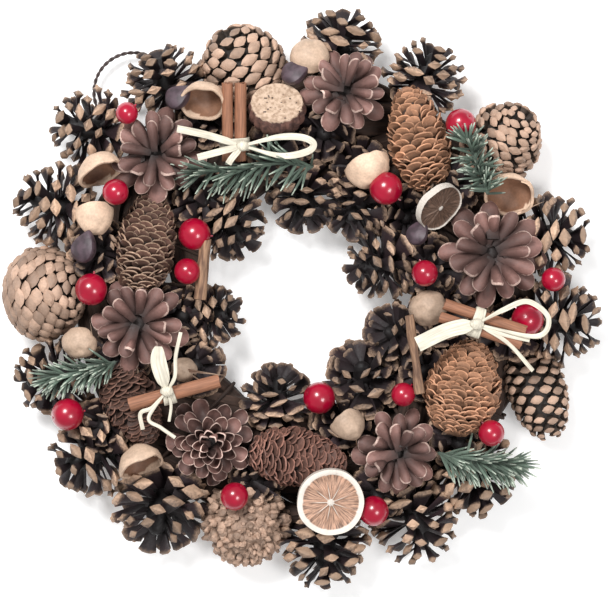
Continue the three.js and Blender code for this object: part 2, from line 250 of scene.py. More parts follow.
# (at, direction, length, width)
BARK = [
    ((55, -27, 50), (-0.15, 1, 0), 39, 8),
    ((-50, 15, 42), (0.1, 1, 0.1), 30, 7),
]
# (the stem's points, pairs of needles, how long the needles are beside the longest)
SPRIGS = [
    ([(4, 66, 44), (-16, 68, 43), (-34, 64, 42), (-50, 64, 48)], 46, 0.9),
    ([(-94, -31, 46), (-108, -35, 46), (-124, -38, 42)], 52, 0.66),
    ([(90, 52, 56), (86, 64, 54), (80, 78, 54)], 48, 0.58),
    ([(66, -76, 48), (84, -80, 45), (101, -81, 40)], 54, 0.78),
]
# Every needle leans this way too, as well as outwards and forwards.
NEEDLE_SAG = Vector((0, -0.55, 0))
# The middle of the ring's band, its half width and its height.
RING = {"middle": 86, "wide": 30, "high": 23}
# spread is the angle between the loop's two ends, and tail how far they run in behind a cone.
HANGER = {"at": (-87, 105, 8), "radius": 20, "spread": 26, "tail": 14}
# No point of a piece comes nearer to the ground than this.
CLEARANCE = 0.1 * MM
# (name, at, power) in metres and watts
LIGHTS = [("key", (-0.5, 0.7, 1.5), 31), ("fill", (0.7, -0.4, 1.5), 14)]
LAMP_SIZE = 0.6
# The camera sees this width, in metres, at this height above the ground.
VIEW_WIDTH = 0.304
VIEW_HEIGHT = 0.03


def here(at):
    """A point of the tables, in the row frame."""
    return Vector(at) * MM + ZERO


def hue(code):
    """A colour written as six hexadecimal digits, as linear values."""
    parts = [int(code[i : i + 2], 16) / 255 for i in (0, 2, 4)]
    return [p / 12.92 if p <= 0.04045 else ((p + 0.055) / 1.055) ** 2.4 for p in parts]


def colour_property(name, code, description):
    return FloatVectorProperty(
        name=name, description=description, subtype="COLOR", size=3, min=0, max=1, default=hue(code)
    )


def length_property(name, value, description):
    return FloatProperty(
        name=name, description=description, unit="LENGTH", subtype="DISTANCE", min=0, default=value * MM
    )


class WreathColours(bpy.types.PropertyGroup):
    open_dark: colour_property("Open cone", "2f1f23", "The inner part of an open cone's scales")
    open_tip: colour_property("Open cone tip", "bd9d84", "The plates at the ends of an open cone's scales")
    flower_body: colour_property("Flower cone", "7d5c55", "The scales of a cone that is opened flat")
    flower_rim: colour_property("Flower cone rim", "d2b5a9", "The worn rim of those scales")
    long_warm: colour_property("Warm long cone", "a67a5e", "The scales of the orange-brown long cones")
    long_dull: colour_property("Dull long cone", "6e4f43", "The scales of the darker long cones")
    long_ruddy: colour_property("Ruddy long cone", "93685a", "The edges of the red-brown long cone's scales")
    closed_plate: colour_property("Closed cone", "b0927e", "The plates of a closed cone")
    berry: colour_property("Berry", "a0022a", "A berry's lacquered skin")
    shell: colour_property("Shell", "c6aa93", "The outside of a cup or shell")
    inside: colour_property("Inside of a shell", "7d5a45", "The darker inside of a cup")
    cinnamon: colour_property("Cinnamon", "92634a", "Cinnamon bark")
    raffia: colour_property("Raffia", "dfd7c4", "Raffia ribbon")
    citrus_rind: colour_property("Rind", "e9dfd4", "Dried citrus rind")
    citrus_flesh: colour_property("Flesh", "9c7a66", "Dried citrus flesh")
    pod: colour_property("Pod", "4f3f47", "A dark dried pod")
    needle: colour_property("Needle", "5d6d60", "A needle's own green")
    needle_tip: colour_property("Needle tip", "b2bcac", "The pale end of a needle")
    # Painted shade: the vine's colour is darkened almost to black, because the ring shows only in the shaded
    # gaps between the pieces.
    vine: colour_property("Vine", "3d2b22", "The bound vine of the ring")
    wire: colour_property("Wire", "564a48", "The hanging loop's wire")


class WreathSizes(bpy.types.PropertyGroup):
    needle: length_property("Needle length", 19, "Length of the longest needles")
    raffia: length_property("Raffia thickness", 0.35, "Thickness of the raffia ribbon")
    bark: length_property("Cinnamon bark", 0.7, "Thickness of the rolled bark")
    wire: length_property("Wire", 1.1, "Thickness of one of the hanging loop's two wires")
    shell: length_property("Shell wall", 1.6, "Thickness of a cup's wall")
    vines: IntProperty(name="Vines", description="Strands in the ring", default=17, min=6, max=24)


# ---------------------------------------------------------------- shader groups


def add(tree, kind, inputs=None, **settings):
    """Adds a node. An input is a value, or another node's output to link."""
    made = tree.nodes.new(kind)
    for key, value in settings.items():
        setattr(made, key, value)
    for socket, value in (inputs or {}).items():
        if isinstance(value, bpy.types.NodeSocket):
            tree.links.new(value, made.inputs[socket])
        else:
            made.inputs[socket].default_value = value
    return made


def group(name, inputs, outputs):
    """A new node group, with its input node and a function that links its outputs."""
    tree = bpy.data.node_groups.new(name, "ShaderNodeTree")
    for label, kind, value in inputs:
        socket = tree.interface.new_socket(label, in_out="INPUT", socket_type=kind)
        socket.default_value = value
    for label, kind in outputs:
        tree.interface.new_socket(label, in_out="OUTPUT", socket_type=kind)
    entry = tree.nodes.new("NodeGroupInput").outputs
    leave = tree.nodes.new("NodeGroupOutput").inputs

    def give(label, value):
        tree.links.new(value, leave[label])

    return tree, entry, give


def grain(tree, place, scale, detail):
    """Noise of that scale, read at a place."""
    return add(tree, "ShaderNodeTexNoise", {"Vector": place, "Scale": scale, "Detail": detail}).outputs[0]


def here_on_piece(tree):
    return add(tree, "ShaderNodeTexCoord").outputs["Object"]


def attribute(tree, name, output="Fac"):
    return add(tree, "ShaderNodeAttribute", attribute_name=name).outputs[output]


def calc(tree, operation, a, b=0.0, clamp=False):
    return add(tree, "ShaderNodeMath", {0: a, 1: b}, operation=operation, use_clamp=clamp).outputs[0]


def blend_colours(tree, factor, a, b, kind="MIX"):
    made = add(tree, "ShaderNodeMix", {0: factor, 6: a, 7: b}, data_type="RGBA", blend_type=kind)
    return made.outputs[2]


def darkened(tree, colour, value):
    """A colour times a value."""
    grey = add(tree, "ShaderNodeCombineColor", {0: value, 1: value, 2: value}).outputs[0]
    return blend_colours(tree, 1.0, colour, grey, "MULTIPLY")


def spread_range(tree, value, low, high, to_low, to_high, smooth=False):
    kind = "SMOOTHSTEP" if smooth else "LINEAR"
    sockets = {"Value": value, "From Min": low, "From Max": high, "To Min": to_low, "To Max": to_high}
    return add(tree, "ShaderNodeMapRange", sockets, interpolation_type=kind).outputs[0]


COLOUR, NUMBER = "NodeSocketColor", "NodeSocketFloat"
GREY = (0.5, 0.5, 0.5, 1)


def scale_finish_group():
    """Dry woody scales: a body colour, a tip or rim of another, a shade for each scale, a fine grain, and
    painted shade that darkens each scale towards its root.
    """
    tree, entry, give = group(
        "scale_finish",
        [
            ("Body", COLOUR, GREY),
            ("Tip", COLOUR, GREY),
            ("Edge", NUMBER, 0.6),
            ("Softness", NUMBER, 0.15),
            ("Root_Shade", NUMBER, 0.4),
            ("Grain", NUMBER, 1.0),
        ],
        [("Color", COLOUR), ("Roughness", NUMBER), ("Height", NUMBER)],
    )
    place = here_on_piece(tree)
    shade = attribute(tree, "shade")
    fine = grain(tree, place, 900.0, 4.0)
    broad = grain(tree, place, 160.0, 3.0)
    wander = calc(tree, "MULTIPLY", calc(tree, "SUBTRACT", fine, 0.5), 0.7)
    worn = calc(tree, "ADD", attribute(tree, "tip"), wander)
    low = calc(tree, "SUBTRACT", entry["Edge"], entry["Softness"])
    high = calc(tree, "ADD", entry["Edge"], entry["Softness"])
    tip = spread_range(tree, worn, low, high, 0.0, 1.0, smooth=True)
    colour = blend_colours(tree, tip, entry["Body"], entry["Tip"])
    # Painted shade: the colour is multiplied by the root shade input at a scale's root (reach 0), rising to 1
    # at reach 0.8, for the shade where scales cover each other.
    root = spread_range(tree, attribute(tree, "reach"), 0.0, 0.8, entry["Root_Shade"], 1.0)
    light = spread_range(tree, shade, 0.0, 1.0, 0.42, 1.22)
    blotch = spread_range(tree, broad, 0.3, 0.7, 0.82, 1.15)
    specks = spread_range(tree, fine, 0.3, 0.7, 0.86, 1.1)
    near, far = calc(tree, "MULTIPLY", root, light), calc(tree, "MULTIPLY", blotch, specks)
    give("Color", darkened(tree, colour, calc(tree, "MULTIPLY", near, far)))
    give("Roughness", spread_range(tree, fine, 0.3, 0.7, 0.55, 0.8))
    give("Height", calc(tree, "MULTIPLY", fine, entry["Grain"]))
    return tree


def fibre_group():
    """Fibres along a piece's own length: streaks of two colours and a ridged height."""
    tree, entry, give = group(
        "fibre",
        [
            ("Light", COLOUR, GREY),
            ("Dark", COLOUR, GREY),
            ("Fineness", NUMBER, 1500.0),
            ("Stretch", NUMBER, 0.06),
        ],
        [("Color", COLOUR), ("Height", NUMBER)],
    )
    own = attribute(tree, "own", "Vector")
    apart = calc(tree, "MULTIPLY", attribute(tree, "shade"), 7.0)
    stretch = add(tree, "ShaderNodeCombineXYZ", {0: 1.0, 1: entry["Stretch"], 2: 1.0}).outputs[0]
    run = add(tree, "ShaderNodeVectorMath", {0: own, 1: stretch}, operation="MULTIPLY").outputs[0]
    moved = add(tree, "ShaderNodeVectorMath", {0: run, 1: apart}, operation="ADD").outputs[0]
    streak = grain(tree, moved, entry["Fineness"], 3.0)
    broad = grain(tree, own, 120.0, 2.0)
    mask = spread_range(tree, streak, 0.36, 0.64, 0.0, 1.0)
    colour = blend_colours(tree, mask, entry["Dark"], entry["Light"])
    give("Color", darkened(tree, colour, spread_range(tree, broad, 0.3, 0.7, 0.86, 1.08)))
    give("Height", streak)
    return tree


def mottle_group():
    """Blotches and fine specks of a second colour on a dried or lacquered skin."""
    tree, entry, give = group(
        "mottle",
        [("Base", COLOUR, GREY), ("Blotch", COLOUR, GREY), ("Size", NUMBER, 120.0), ("Amount", NUMBER, 0.5)],
        [("Color", COLOUR), ("Mask", NUMBER), ("Height", NUMBER)],
    )
    place = here_on_piece(tree)
    broad = grain(tree, place, entry["Size"], 4.0)
    fine = grain(tree, place, 1300.0, 3.0)
    mask = spread_range(tree, broad, 0.38, 0.66, 0.0, 1.0, smooth=True)
    amount = calc(tree, "MULTIPLY", mask, entry["Amount"])
    give("Color", blend_colours(tree, amount, entry["Base"], entry["Blotch"]))
    give("Mask", mask)
    give("Height", calc(tree, "ADD", broad, calc(tree, "MULTIPLY", fine, 0.35)))
    return tree


GROUPS = {}


def shared(name):
    """A shader group, built the first time that it is asked for."""
    if name not in GROUPS:
        makers = {"scale_finish": scale_finish_group, "fibre": fibre_group, "mottle": mottle_group}
        GROUPS[name] = makers[name]()
    return GROUPS[name]


def four(colour):
    return (*colour, 1.0)


def blank_material(name):
    """A new material, its node tree and its shader's inputs."""
    made = bpy.data.materials.new(name)
    made.use_nodes = True
    return made, made.node_tree, made.node_tree.nodes["Principled BSDF"].inputs


def colour_and_bump(tree, shader, colour, height, strength, depth, roughness):
    """Gives a shader its colour, the height that bumps it and its roughness."""
    bump = add(tree, "ShaderNodeBump", {"Height": height, "Strength": strength, "Distance": depth})
    tree.links.new(colour, shader["Base Color"])
    tree.links.new(bump.outputs[0], shader["Normal"])
    shader["Roughness"].default_value = roughness


def effect(tree, name, values):
    """A shared shader group's outputs, with its inputs set."""
    return add(tree, "ShaderNodeGroup", values, node_tree=shared(name)).outputs


def material(name, kind, values, roughness=0.65, bump=0.3, depth=0.0004, **others):
    """A material whose colour and bump come from a shared effect, with that roughness."""
    made, tree, shader = blank_material(name)
    source = effect(tree, kind, values)
    colour_and_bump(tree, shader, source["Color"], source["Height"], bump, depth, roughness)
    for label, value in others.items():
        shader[label.replace("_", " ")].default_value = value
    return made


def fibrous(name, light, dark, fineness, stretch, roughness, bump, depth):
    values = {"Light": four(light), "Dark": four(dark), "Fineness": fineness, "Stretch": stretch}
    return material(name, "fibre", values, roughness, bump, depth)


def mottled(base, blotch, size, amount):
    """The values of the mottle effect."""
    return {"Base": four(base), "Blotch": four(blotch), "Size": size, "Amount": amount}


def scale_material(name, body, tip, edge=0.6, softness=0.15, root=0.4, bump=0.35):
    """Dry woody scales, whose roughness comes from the effect too. root is the painted shade at a scale's
    root: how far its colour is darkened there.
    """
    values = {"Body": four(body), "Tip": four(tip), "Edge": edge, "Softness": softness, "Root_Shade": root}
    made = material(name, "scale_finish", values, bump=bump)
    tree = made.node_tree
    source = next(n for n in tree.nodes if n.type == "GROUP")
    tree.links.new(source.outputs["Roughness"], tree.nodes["Principled BSDF"].inputs["Roughness"])
    return made


def dim(colour, factor):
    return [c * factor for c in colour]


# ---------------------------------------------------------------- modelling helpers


def fresh():
    """An empty bmesh with the values that the materials read.

    tip is 1 at a scale's pale end or rim, reach runs from 0 at its root to 1 at its end and sets the painted
    shade at the root, shade is one number for each scale, and own is a point's place in its piece before that
    was turned.
    """
    bm = bmesh.new()
    for name in ("tip", "reach", "shade"):
        bm.verts.layers.float.new(name)
    bm.verts.layers.float_vector.new("own")
    return bm


def note(bm, verts, **values):
    """Writes values to points: a number for all, or a function of the point's place."""
    for name, value in values.items():
        kind = bm.verts.layers.float_vector if name == "own" else bm.verts.layers.float
        layer = kind[name]
        for vert in verts:
            vert[layer] = value(vert.co) if callable(value) else value


def stored(bm, name):
    """The bmesh as a mesh to stamp from."""
    bmesh.ops.recalc_face_normals(bm, faces=bm.faces[:])
    mesh = bpy.data.meshes.new(name)
    bm.to_mesh(mesh)
    bm.free()
    return mesh


def stamp(bm, pattern, matrix, shade):
    """Adds a copy of a stored mesh in its place, with its own shade."""
    first = len(bm.verts)
    bm.from_mesh(pattern)
    bm.verts.ensure_lookup_table()
    added = bm.verts[first:]
    bmesh.ops.transform(bm, matrix=matrix, verts=added)
    note(bm, added, shade=shade)
    return added


def facing(at, to, spin=0.0):
    """The matrix that turns +Z to a direction and moves the origin to a point of the tables."""
    turn = Vector(to).to_track_quat("Z", "Y").to_matrix().to_4x4()
    return Matrix.Translation(here(at)) @ turn @ Matrix.Rotation(spin, 4, "Z")


def piece(bm, name, finish, node=None, crease=40):
    """The bmesh as a finished piece that rides on the wreath and stands for its solid."""
    for vert in bm.verts:
        vert.co.z = max(vert.co.z, CLEARANCE)
    mesh = bpy.data.meshes.new(name)
    bm.to_mesh(mesh)
    bm.free()
    mesh.materials.append(finish)
    mesh.shade_smooth()
    mesh.set_sharp_from_angle(angle=math.radians(crease))
    obj = bpy.data.objects.new(name, mesh)
    bpy.context.scene.collection.objects.link(obj)
    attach(obj, "root")
    if node:
        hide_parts(node)
    return obj


def from_axes(x, y, z, at):
    """The matrix with those three axes that moves the origin to a point."""
    matrix = Matrix((x, y, z)).transposed().to_4x4()
    matrix.translation = at
    return matrix


def ring_of(bm, sides, matrix):
    """The points of a round section in its place."""
    return bmesh.ops.create_circle(bm, cap_ends=False, segments=sides, radius=1, matrix=matrix)["verts"]


def outwards(bm, verts):
    """Turns the faces round some points outwards."""
    bmesh.ops.recalc_face_normals(bm, faces=list({face for vert in verts for face in vert.link_faces}))


def stitch(bm, rings):
    """Joins sections into a tube that runs back into itself, and returns its points."""
    for a, b in zip(rings, [*rings[1:], rings[0]]):
        for j in range(len(a)):
            k = (j + 1) % len(a)
            bm.faces.new((a[j], a[k], b[k], b[j]))
    made = [vert for ring in rings for vert in ring]
    outwards(bm, made)
    return made


def somewhere(rng):
    """A place to read noise from, so that no two pieces are alike."""
    return Vector((rng.uniform(0, 9), rng.uniform(0, 9), 0))


def lerp(a, b, t):
    return a + (b - a) * t


def ease(t):
    t = min(max(t, 0), 1)
    return t * t * (3 - 2 * t)


def through(points, steps):
    """A smooth path through the points, with that many stretches between each two."""
    ends = [2 * points[0] - points[1], *points, 2 * points[-1] - points[-2]]
    path = []
    for a, b, c, d in zip(ends, ends[1:], ends[2:], ends[3:]):
        for k in range(steps):
            t = k / steps
            square, cube = 2 * a - 5 * b + 4 * c - d, 3 * b - a - 3 * c + d
            path.append(0.5 * (2 * b + (c - a) * t + square * t**2 + cube * t**3))
    return [*path, points[-1]]


def sweep(bm, path, size, sides=8, top=None):
    """A strand along a path, closed at both ends.

    size(t) gives its half width and half thickness, and top is the way that its flat side faces.
    """
    last = len(path) - 1
    normal = top or (UP if abs((path[1] - path[0]).normalized().z) < 0.9 else Vector((1, 0, 0)))
    frames, lengths, length = [], [], 0.0
    for i, at in enumerate(path):
        ahead = (path[min(i + 1, last)] - path[max(i - 1, 0)]).normalized()
        wanted = top or normal
        normal = (wanted - ahead * wanted.dot(ahead)).normalized()
        across = normal.cross(ahead)
        wide, thick = size(i / last)
        frames.append(from_axes(across * wide, normal * thick, ahead * wide, at))
        lengths.append(length)
        length += (path[min(i + 1, last)] - at).length
    first = ring_of(bm, sides, frames[0])
    edges = list({edge for vert in first for edge in vert.link_edges})
    made, ring = list(first), first
    for i, matrix in enumerate(frames):
        if i:
            grown = bmesh.ops.extrude_edge_only(bm, edges=edges)["geom"]
            ring = [g for g in grown if isinstance(g, bmesh.types.BMVert)]
            edges = [g for g in grown if isinstance(g, bmesh.types.BMEdge)]
            bmesh.ops.transform(bm, matrix=matrix @ frames[i - 1].inverted(), verts=ring)
            made += ring
        back = matrix.inverted()
        wide, thick = size(i / last)

        def own(co, back=back, wide=wide, thick=thick, at=lengths[i]):
            local = back @ co
            return Vector((local.x * wide, at, local.y * thick))

        note(bm, ring, own=own, reach=i / last)
    start = [edge for vert in first for edge in vert.link_edges if edge.is_boundary]
    bmesh.ops.contextual_create(bm, geom=list(set(start)))
    bmesh.ops.contextual_create(bm, geom=edges)
    outwards(bm, made)
    return made


# ---------------------------------------------------------------- cones


def petal(name, root, wide, fullest, cup, curl, thick, across=4, along=6, blunt=0.88, drop=0.06):
    """A thin spoon-shaped scale on +Y, one long, with the upper side on +Z.

    blunt is how much its end narrows, and drop is how far the end's corners fall back.
    """
    bm = fresh()
    bmesh.ops.create_grid(bm, x_segments=across, y_segments=along, size=0.5)
    tip, reach = bm.verts.layers.float["tip"], bm.verts.layers.float["reach"]
    for vert in bm.verts:
        side, step = vert.co.x * 2, vert.co.y + 0.5
        t = step * (1.55 - 0.55 * step)
        late = max((t - fullest) / (1 - fullest), 0)
        half = lerp(root, wide, ease(t / fullest)) if late == 0 else wide * math.sqrt(1 - blunt * late**2)
        vert[tip] = 1 if step > 0.99 else ease((t - 0.35) / 0.4) if abs(side) > 0.99 else 0
        vert[reach] = t
        lift = cup * (side**2 - 0.5) * ease(t * 1.4) * (1 - 0.85 * late**2) + curl * t**2
        vert.co = Vector((side * half, t - drop * side**2 * late**2, lift))
    bmesh.ops.solidify(bm, geom=bm.faces[:], thickness=thick)
    note(bm, bm.verts[:], own=lambda co: co.copy())
    return stored(bm, name)


def plate(name, profile, dome, corner=0.8, tilt=0.0, bend=0.0, pale=0.86, upper=1.0, sides=8):
    """A woody scale on +Y, one long: a blade, and a head that ends in a diamond with a raised middle.

    profile gives the half width and half thickness at five steps from the root to the end, corner how
    far the diamond's sides bulge, tilt how far its upper edge stands out, bend how far the blade curls
    back, pale where along it the end's own colour begins, and upper its strength on the upper side.
    """
    bm = fresh()
    places = (0.0, 0.45, 0.78, 0.94, 1.0)
    path = [Vector((0, y, 0)) for y in places]
    sweep(bm, path, lambda t: profile[round(t * 4)], sides, top=UP)
    front = max(bm.faces, key=lambda face: face.calc_center_median().y)
    bmesh.ops.inset_individual(bm, faces=[front], thickness=profile[4][1] * 0.5, depth=0)
    bmesh.ops.translate(bm, verts=front.verts[:], vec=(0, dome, 0))
    flat = profile[3][1] / profile[3][0]
    tip, reach = bm.verts.layers.float["tip"], bm.verts.layers.float["reach"]
    for vert in bm.verts:
        y = vert.co.y
        vert[reach] = min(max(y, 0), 1)
        vert[tip] = ease((y - pale) / (1 - pale)) * (1 if vert.co.z < 0.2 * profile[3][1] else upper)
        if y > 0.6:
            angle = math.atan2(vert.co.z / flat, vert.co.x)
            bulge = lerp(corner, 1.0, abs(math.cos(2 * angle)))
            vert.co.x *= bulge
            vert.co.z *= bulge
            vert.co.y += tilt * vert.co.z / profile[3][1]
        vert.co.z -= bend * y**2
    note(bm, bm.verts[:], own=lambda co: co.copy())
    return stored(bm, name)


def leaning(turn, slope, twist):
    """The way out of a cone at a turn, a scale's own way at a slope, and its side after a twist."""
    radial = Vector((math.cos(turn), math.sin(turn), 0))
    along = radial * math.cos(slope) + UP * math.sin(slope)
    across = (Matrix.Rotation(twist, 3, along) @ radial.cross(UP)).normalized()
    return radial, along, across


def scales(
    bm, patterns, matrix, reach, half, count, size, lift, rng, waist, loose, band=(0.02, 0.98), fade=0.0
):
    """Sets scales round a cone on +Z in the spiral that cones grow in, their ends on an egg.

    size is a scale's width, length and thickness. lift is its slope at the stem and at the tip,
    and the power that joins them, and without it scales stand square to the egg. waist is how much
    the egg narrows towards its tip, and loose how far scales stray. band is the share of the height
    that bears scales, and fade how much darker they are towards the tip.
    """
    for i in range(count):
        up = (i + 0.5) / count
        height = 2 * lerp(*band, up) - 1
        girth = math.sqrt(max(1 - height**2, 0.01)) * (1 - waist * height)
        turn = i * GOLDEN + rng.gauss(0, loose)
        if lift:
            slope = math.radians(lerp(lift[0], lift[1], up ** lift[2]) + rng.gauss(0, 80 * loose))
            swell = lerp(0.62, 1.0, math.sin(math.pi * min(0.2 + 0.78 * up, 1)))
        else:
            slope = math.asin(height) + math.radians(rng.gauss(6, 80 * loose))
            swell = 1.0 - 0.3 * up**4
        radial, along, across = leaning(turn, slope, rng.gauss(0, 2 * loose))
        wide, long, thick = (s * swell * rng.uniform(1 - 1.5 * loose, 1 + 1.5 * loose) for s in size)
        end = radial * reach * girth * rng.uniform(1 - loose, 1 + 0.5 * loose) + UP * half * height
        place = from_axes(across * wide, along * long, across.cross(along) * thick, end - along * long)
        stamp(bm, rng.choice(patterns), matrix @ place, rng.uniform(0.2, 1) * (1 - fade * ease(up * 2.2 - 1)))


def core(bm, matrix, reach, half, shade=0.2, tip=0.0, rough=0.0):
    """The middle that a cone's scales stand on, smooth unless rough says otherwise. It is painted dark as
    shade deep inside the cone, with a low shade and reach 0 for the full painted root shade, unless tip
    lightens it and rough gives it reach 1.
    """
    around, rows = (64, 40) if rough else (12, 8)
    made = bmesh.ops.create_uvsphere(bm, u_segments=around, v_segments=rows, radius=1)["verts"]
    for vert in made:
        crumb = noise.noise(vert.co * 9) + 0.7 * noise.noise(vert.co * 19)
        vert.co = Vector((vert.co.x * reach, vert.co.y * reach, vert.co.z * half)) * (1 + rough * crumb)
    bmesh.ops.transform(bm, matrix=matrix, verts=made)
    # reach 0 gives the core the full painted root shade; a rough core gets reach 1 and none.
    note(bm, made, shade=shade, tip=tip, reach=1.0 if rough else 0.0)


def stem(bm, matrix, half, radius, length):
    """A short broken stalk under a cone."""
    path = [Vector((0, 0, -half + 0.1 * length)), Vector((0.1 * length, 0, -half - 0.5 * length))]
    path.append(Vector((0.25 * length, 0, -half - length)))
    made = sweep(bm, path, lambda t: (radius * (1 - 0.2 * t), radius * (1 - 0.2 * t)), 6)
    bmesh.ops.transform(bm, matrix=matrix, verts=made)
    note(bm, made, shade=0.6)


def settings(context):
    """The colours and the sizes that the panel shows."""
    return context.scene.wreath_colours, context.scene.wreath_sizes


def both_kinds(node, what, solid, extra, small):
    """The name, the node and the row of each piece that has a solid, then of each that has none."""
    for i, row in enumerate(solid, 1):
        yield f"{node}_{i}_{what}", f"{node}_{i}", row
    for i, row in enumerate(small, 1):
        yield f"{extra}_{i}", None, row


def open_cone(name, spec, patterns, finish, rng, node, count):
    """A dark cone whose scales stand out, a little larger than its solid."""
    at, to, r, half = spec
    reach, tall = r * 1.14 * MM, half * 1.06 * MM
    bm = fresh()
    matrix = facing(at, to, rng.uniform(0, 6))
    size = [share * reach for share in OPEN_SCALE]
    scales(bm, patterns, matrix, reach, tall, count, size, OPEN_LIFT, rng, 0.2, 0.13, (0.03, 0.95), fade=0.8)
    core(bm, matrix, 0.26 * reach, 0.62 * tall)
    piece(bm, name, finish, node)


class WREATH_OT_open_cones(bpy.types.Operator):
    """Adds the open dark cones round the outer edge and the hole"""

    bl_idname = "wreath.open_cones"
    bl_label = "Open Cones"

    def execute(self, context):
        colours, _ = settings(context)
        rng = random.Random(11)
        broad = [(0.14, 0.05), (0.36, 0.06), (0.5, 0.11), (0.57, 0.3), (0.38, 0.15)]
        low = [(0.14, 0.05), (0.38, 0.06), (0.54, 0.09), (0.64, 0.23), (0.46, 0.11)]
        narrow = [(0.12, 0.05), (0.26, 0.06), (0.36, 0.1), (0.42, 0.27), (0.24, 0.1)]
        patterns = [
            plate("broad_scale", broad, 0.03, corner=0.8, tilt=0.05, bend=0.08, pale=0.8, upper=0.62),
            plate("low_scale", low, 0.03, corner=0.9, tilt=0.06, bend=0.16, pale=0.8, upper=0.62),
            plate("narrow_scale", narrow, 0.06, corner=0.76, tilt=0.03, bend=-0.04, pale=0.8, upper=0.62),
        ]
        # The last value is the painted root shade: the scales darken to a quarter of their colour at their
        # roots.
        finish = scale_material("dark_scales", colours.open_dark, colours.open_tip, 0.5, 0.42, 0.25)
        for name, node, spec in both_kinds("open_cone", "scales", OPEN_CONES, "filler_cone", FILLER_CONES):
            open_cone(name, spec, patterns, finish, rng, node, 52 if node else 44)
        for pattern in patterns:
            bpy.data.meshes.remove(pattern)
        return {"FINISHED"}


class WREATH_OT_flower_cones(bpy.types.Operator):
    """Adds the cones that are opened flat like flowers"""

    bl_idname = "wreath.flower_cones"
    bl_label = "Flower Cones"

    def execute(self, context):
        colours, _ = settings(context)
        rng = random.Random(5)
        grid = {"across": 6, "along": 10, "drop": 0.04}
        cupped = petal("cupped_scale", 0.17, 0.3, 0.68, 0.3, 0.04, 0.06, blunt=0.82, **grid)
        ridged = petal("ridged_scale", 0.17, 0.3, 0.7, -0.2, 0.02, 0.07, blunt=0.78, **grid)
        body, rim = colours.flower_body, colours.flower_rim
        # The last value of each is the painted root shade: the petals darken to an eighth of their colour at
        # their roots, for the shade under the petals above them.
        soft = scale_material("flower_scales", body, rim, 0.86, 0.18, 0.12)
        edged = scale_material("rimmed_scales", body, dim(rim, 1.1), 0.66, 0.14, 0.12)
        for i, (at, to, r, half) in enumerate(FLOWER_CONES, 1):
            rows = i == MANY_ROWS
            reach, tall = r * MM, half * MM
            bm = fresh()
            matrix = facing(at, to, rng.uniform(0, 6))
            count = 46 if rows else 24
            for k in range(count):
                up = (k + 0.5) / count
                turn = k * GOLDEN + rng.gauss(0, 0.1)
                slope = math.radians(lerp(-26, 82 if rows else 52, up) + rng.gauss(0, 8))
                radial, along, across = leaning(turn, slope, rng.gauss(0, 0.2))
                out = lerp(1.06, 0.2 if rows else 0.56, up**1.2)
                long = reach * lerp(0.78, 0.7, up) * rng.uniform(0.92, 1.05) * (0.72 if rows else 1)
                wide = long * lerp(0.98, 0.6 if rows else 0.52, up)
                wide *= rng.uniform(0.85, 1.1) * (1.25 if rows else 1)
                end = radial * reach * out + UP * tall * lerp(-0.8, 1.0, up**0.8)
                place = from_axes(across * wide, along * long, across.cross(along) * long, end - along * long)
                stamp(bm, cupped if rows else ridged, matrix @ place, rng.uniform(0.15, 1))
            core(bm, matrix @ Matrix.Translation((0, 0, -0.5 * tall)), 0.28 * reach, 0.4 * tall)
            piece(bm, f"flower_cone_{i}_scales", edged if rows else soft, f"flower_cone_{i}")
        bpy.data.meshes.remove(cupped)
        bpy.data.meshes.remove(ridged)
        return {"FINISHED"}


class WREATH_OT_long_cones(bpy.types.Operator):
    """Adds the long cones that lie on the ring"""

    bl_idname = "wreath.long_cones"
    bl_label = "Long Cones"

    def execute(self, context):
        colours, _ = settings(context)
        rng = random.Random(23)
        pattern = petal("long_scale", 0.3, 0.5, 0.6, -0.14, 0.1, 0.09, across=4, along=4, blunt=0.5, drop=0.1)
        warm, dull, ruddy = colours.long_warm, colours.long_dull, colours.long_ruddy
        # The last number of each look is the painted root shade: how far a scale's colour is darkened at its
        # root.
        looks = {
            "warm": (warm, dim(warm, 1.35), 0.75, 0.3, 0.2),
            "dull": (dull, dim(colours.open_tip, 0.75), 0.88, 0.2, 0.12),
            "dusky": (dim(dull, 0.5), dim(dull, 1.3), 0.85, 0.2, 0.25),
            "ruddy": (dim(ruddy, 0.45), ruddy, 0.8, 0.3, 0.12),
        }
        finishes = {name: scale_material(f"{name}_scales", *look) for name, look in looks.items()}
        lift = (12, 66, 1.1)
        for i, (at, to, r, half, count, shares, look) in enumerate(LONG_CONES, 1):
            reach, tall = r * MM, half * MM
            bm = fresh()
            matrix = facing(at, to, rng.uniform(0, 6))
            size = [share * reach for share in shares]
            scales(bm, [pattern], matrix, reach, tall, count, size, lift, rng, waist=0.16, loose=0.08)
            core(bm, matrix, 0.74 * reach, 0.86 * tall)
            piece(bm, f"long_cone_{i}_scales", finishes[look], f"long_cone_{i}")
        bpy.data.meshes.remove(pattern)
        return {"FINISHED"}


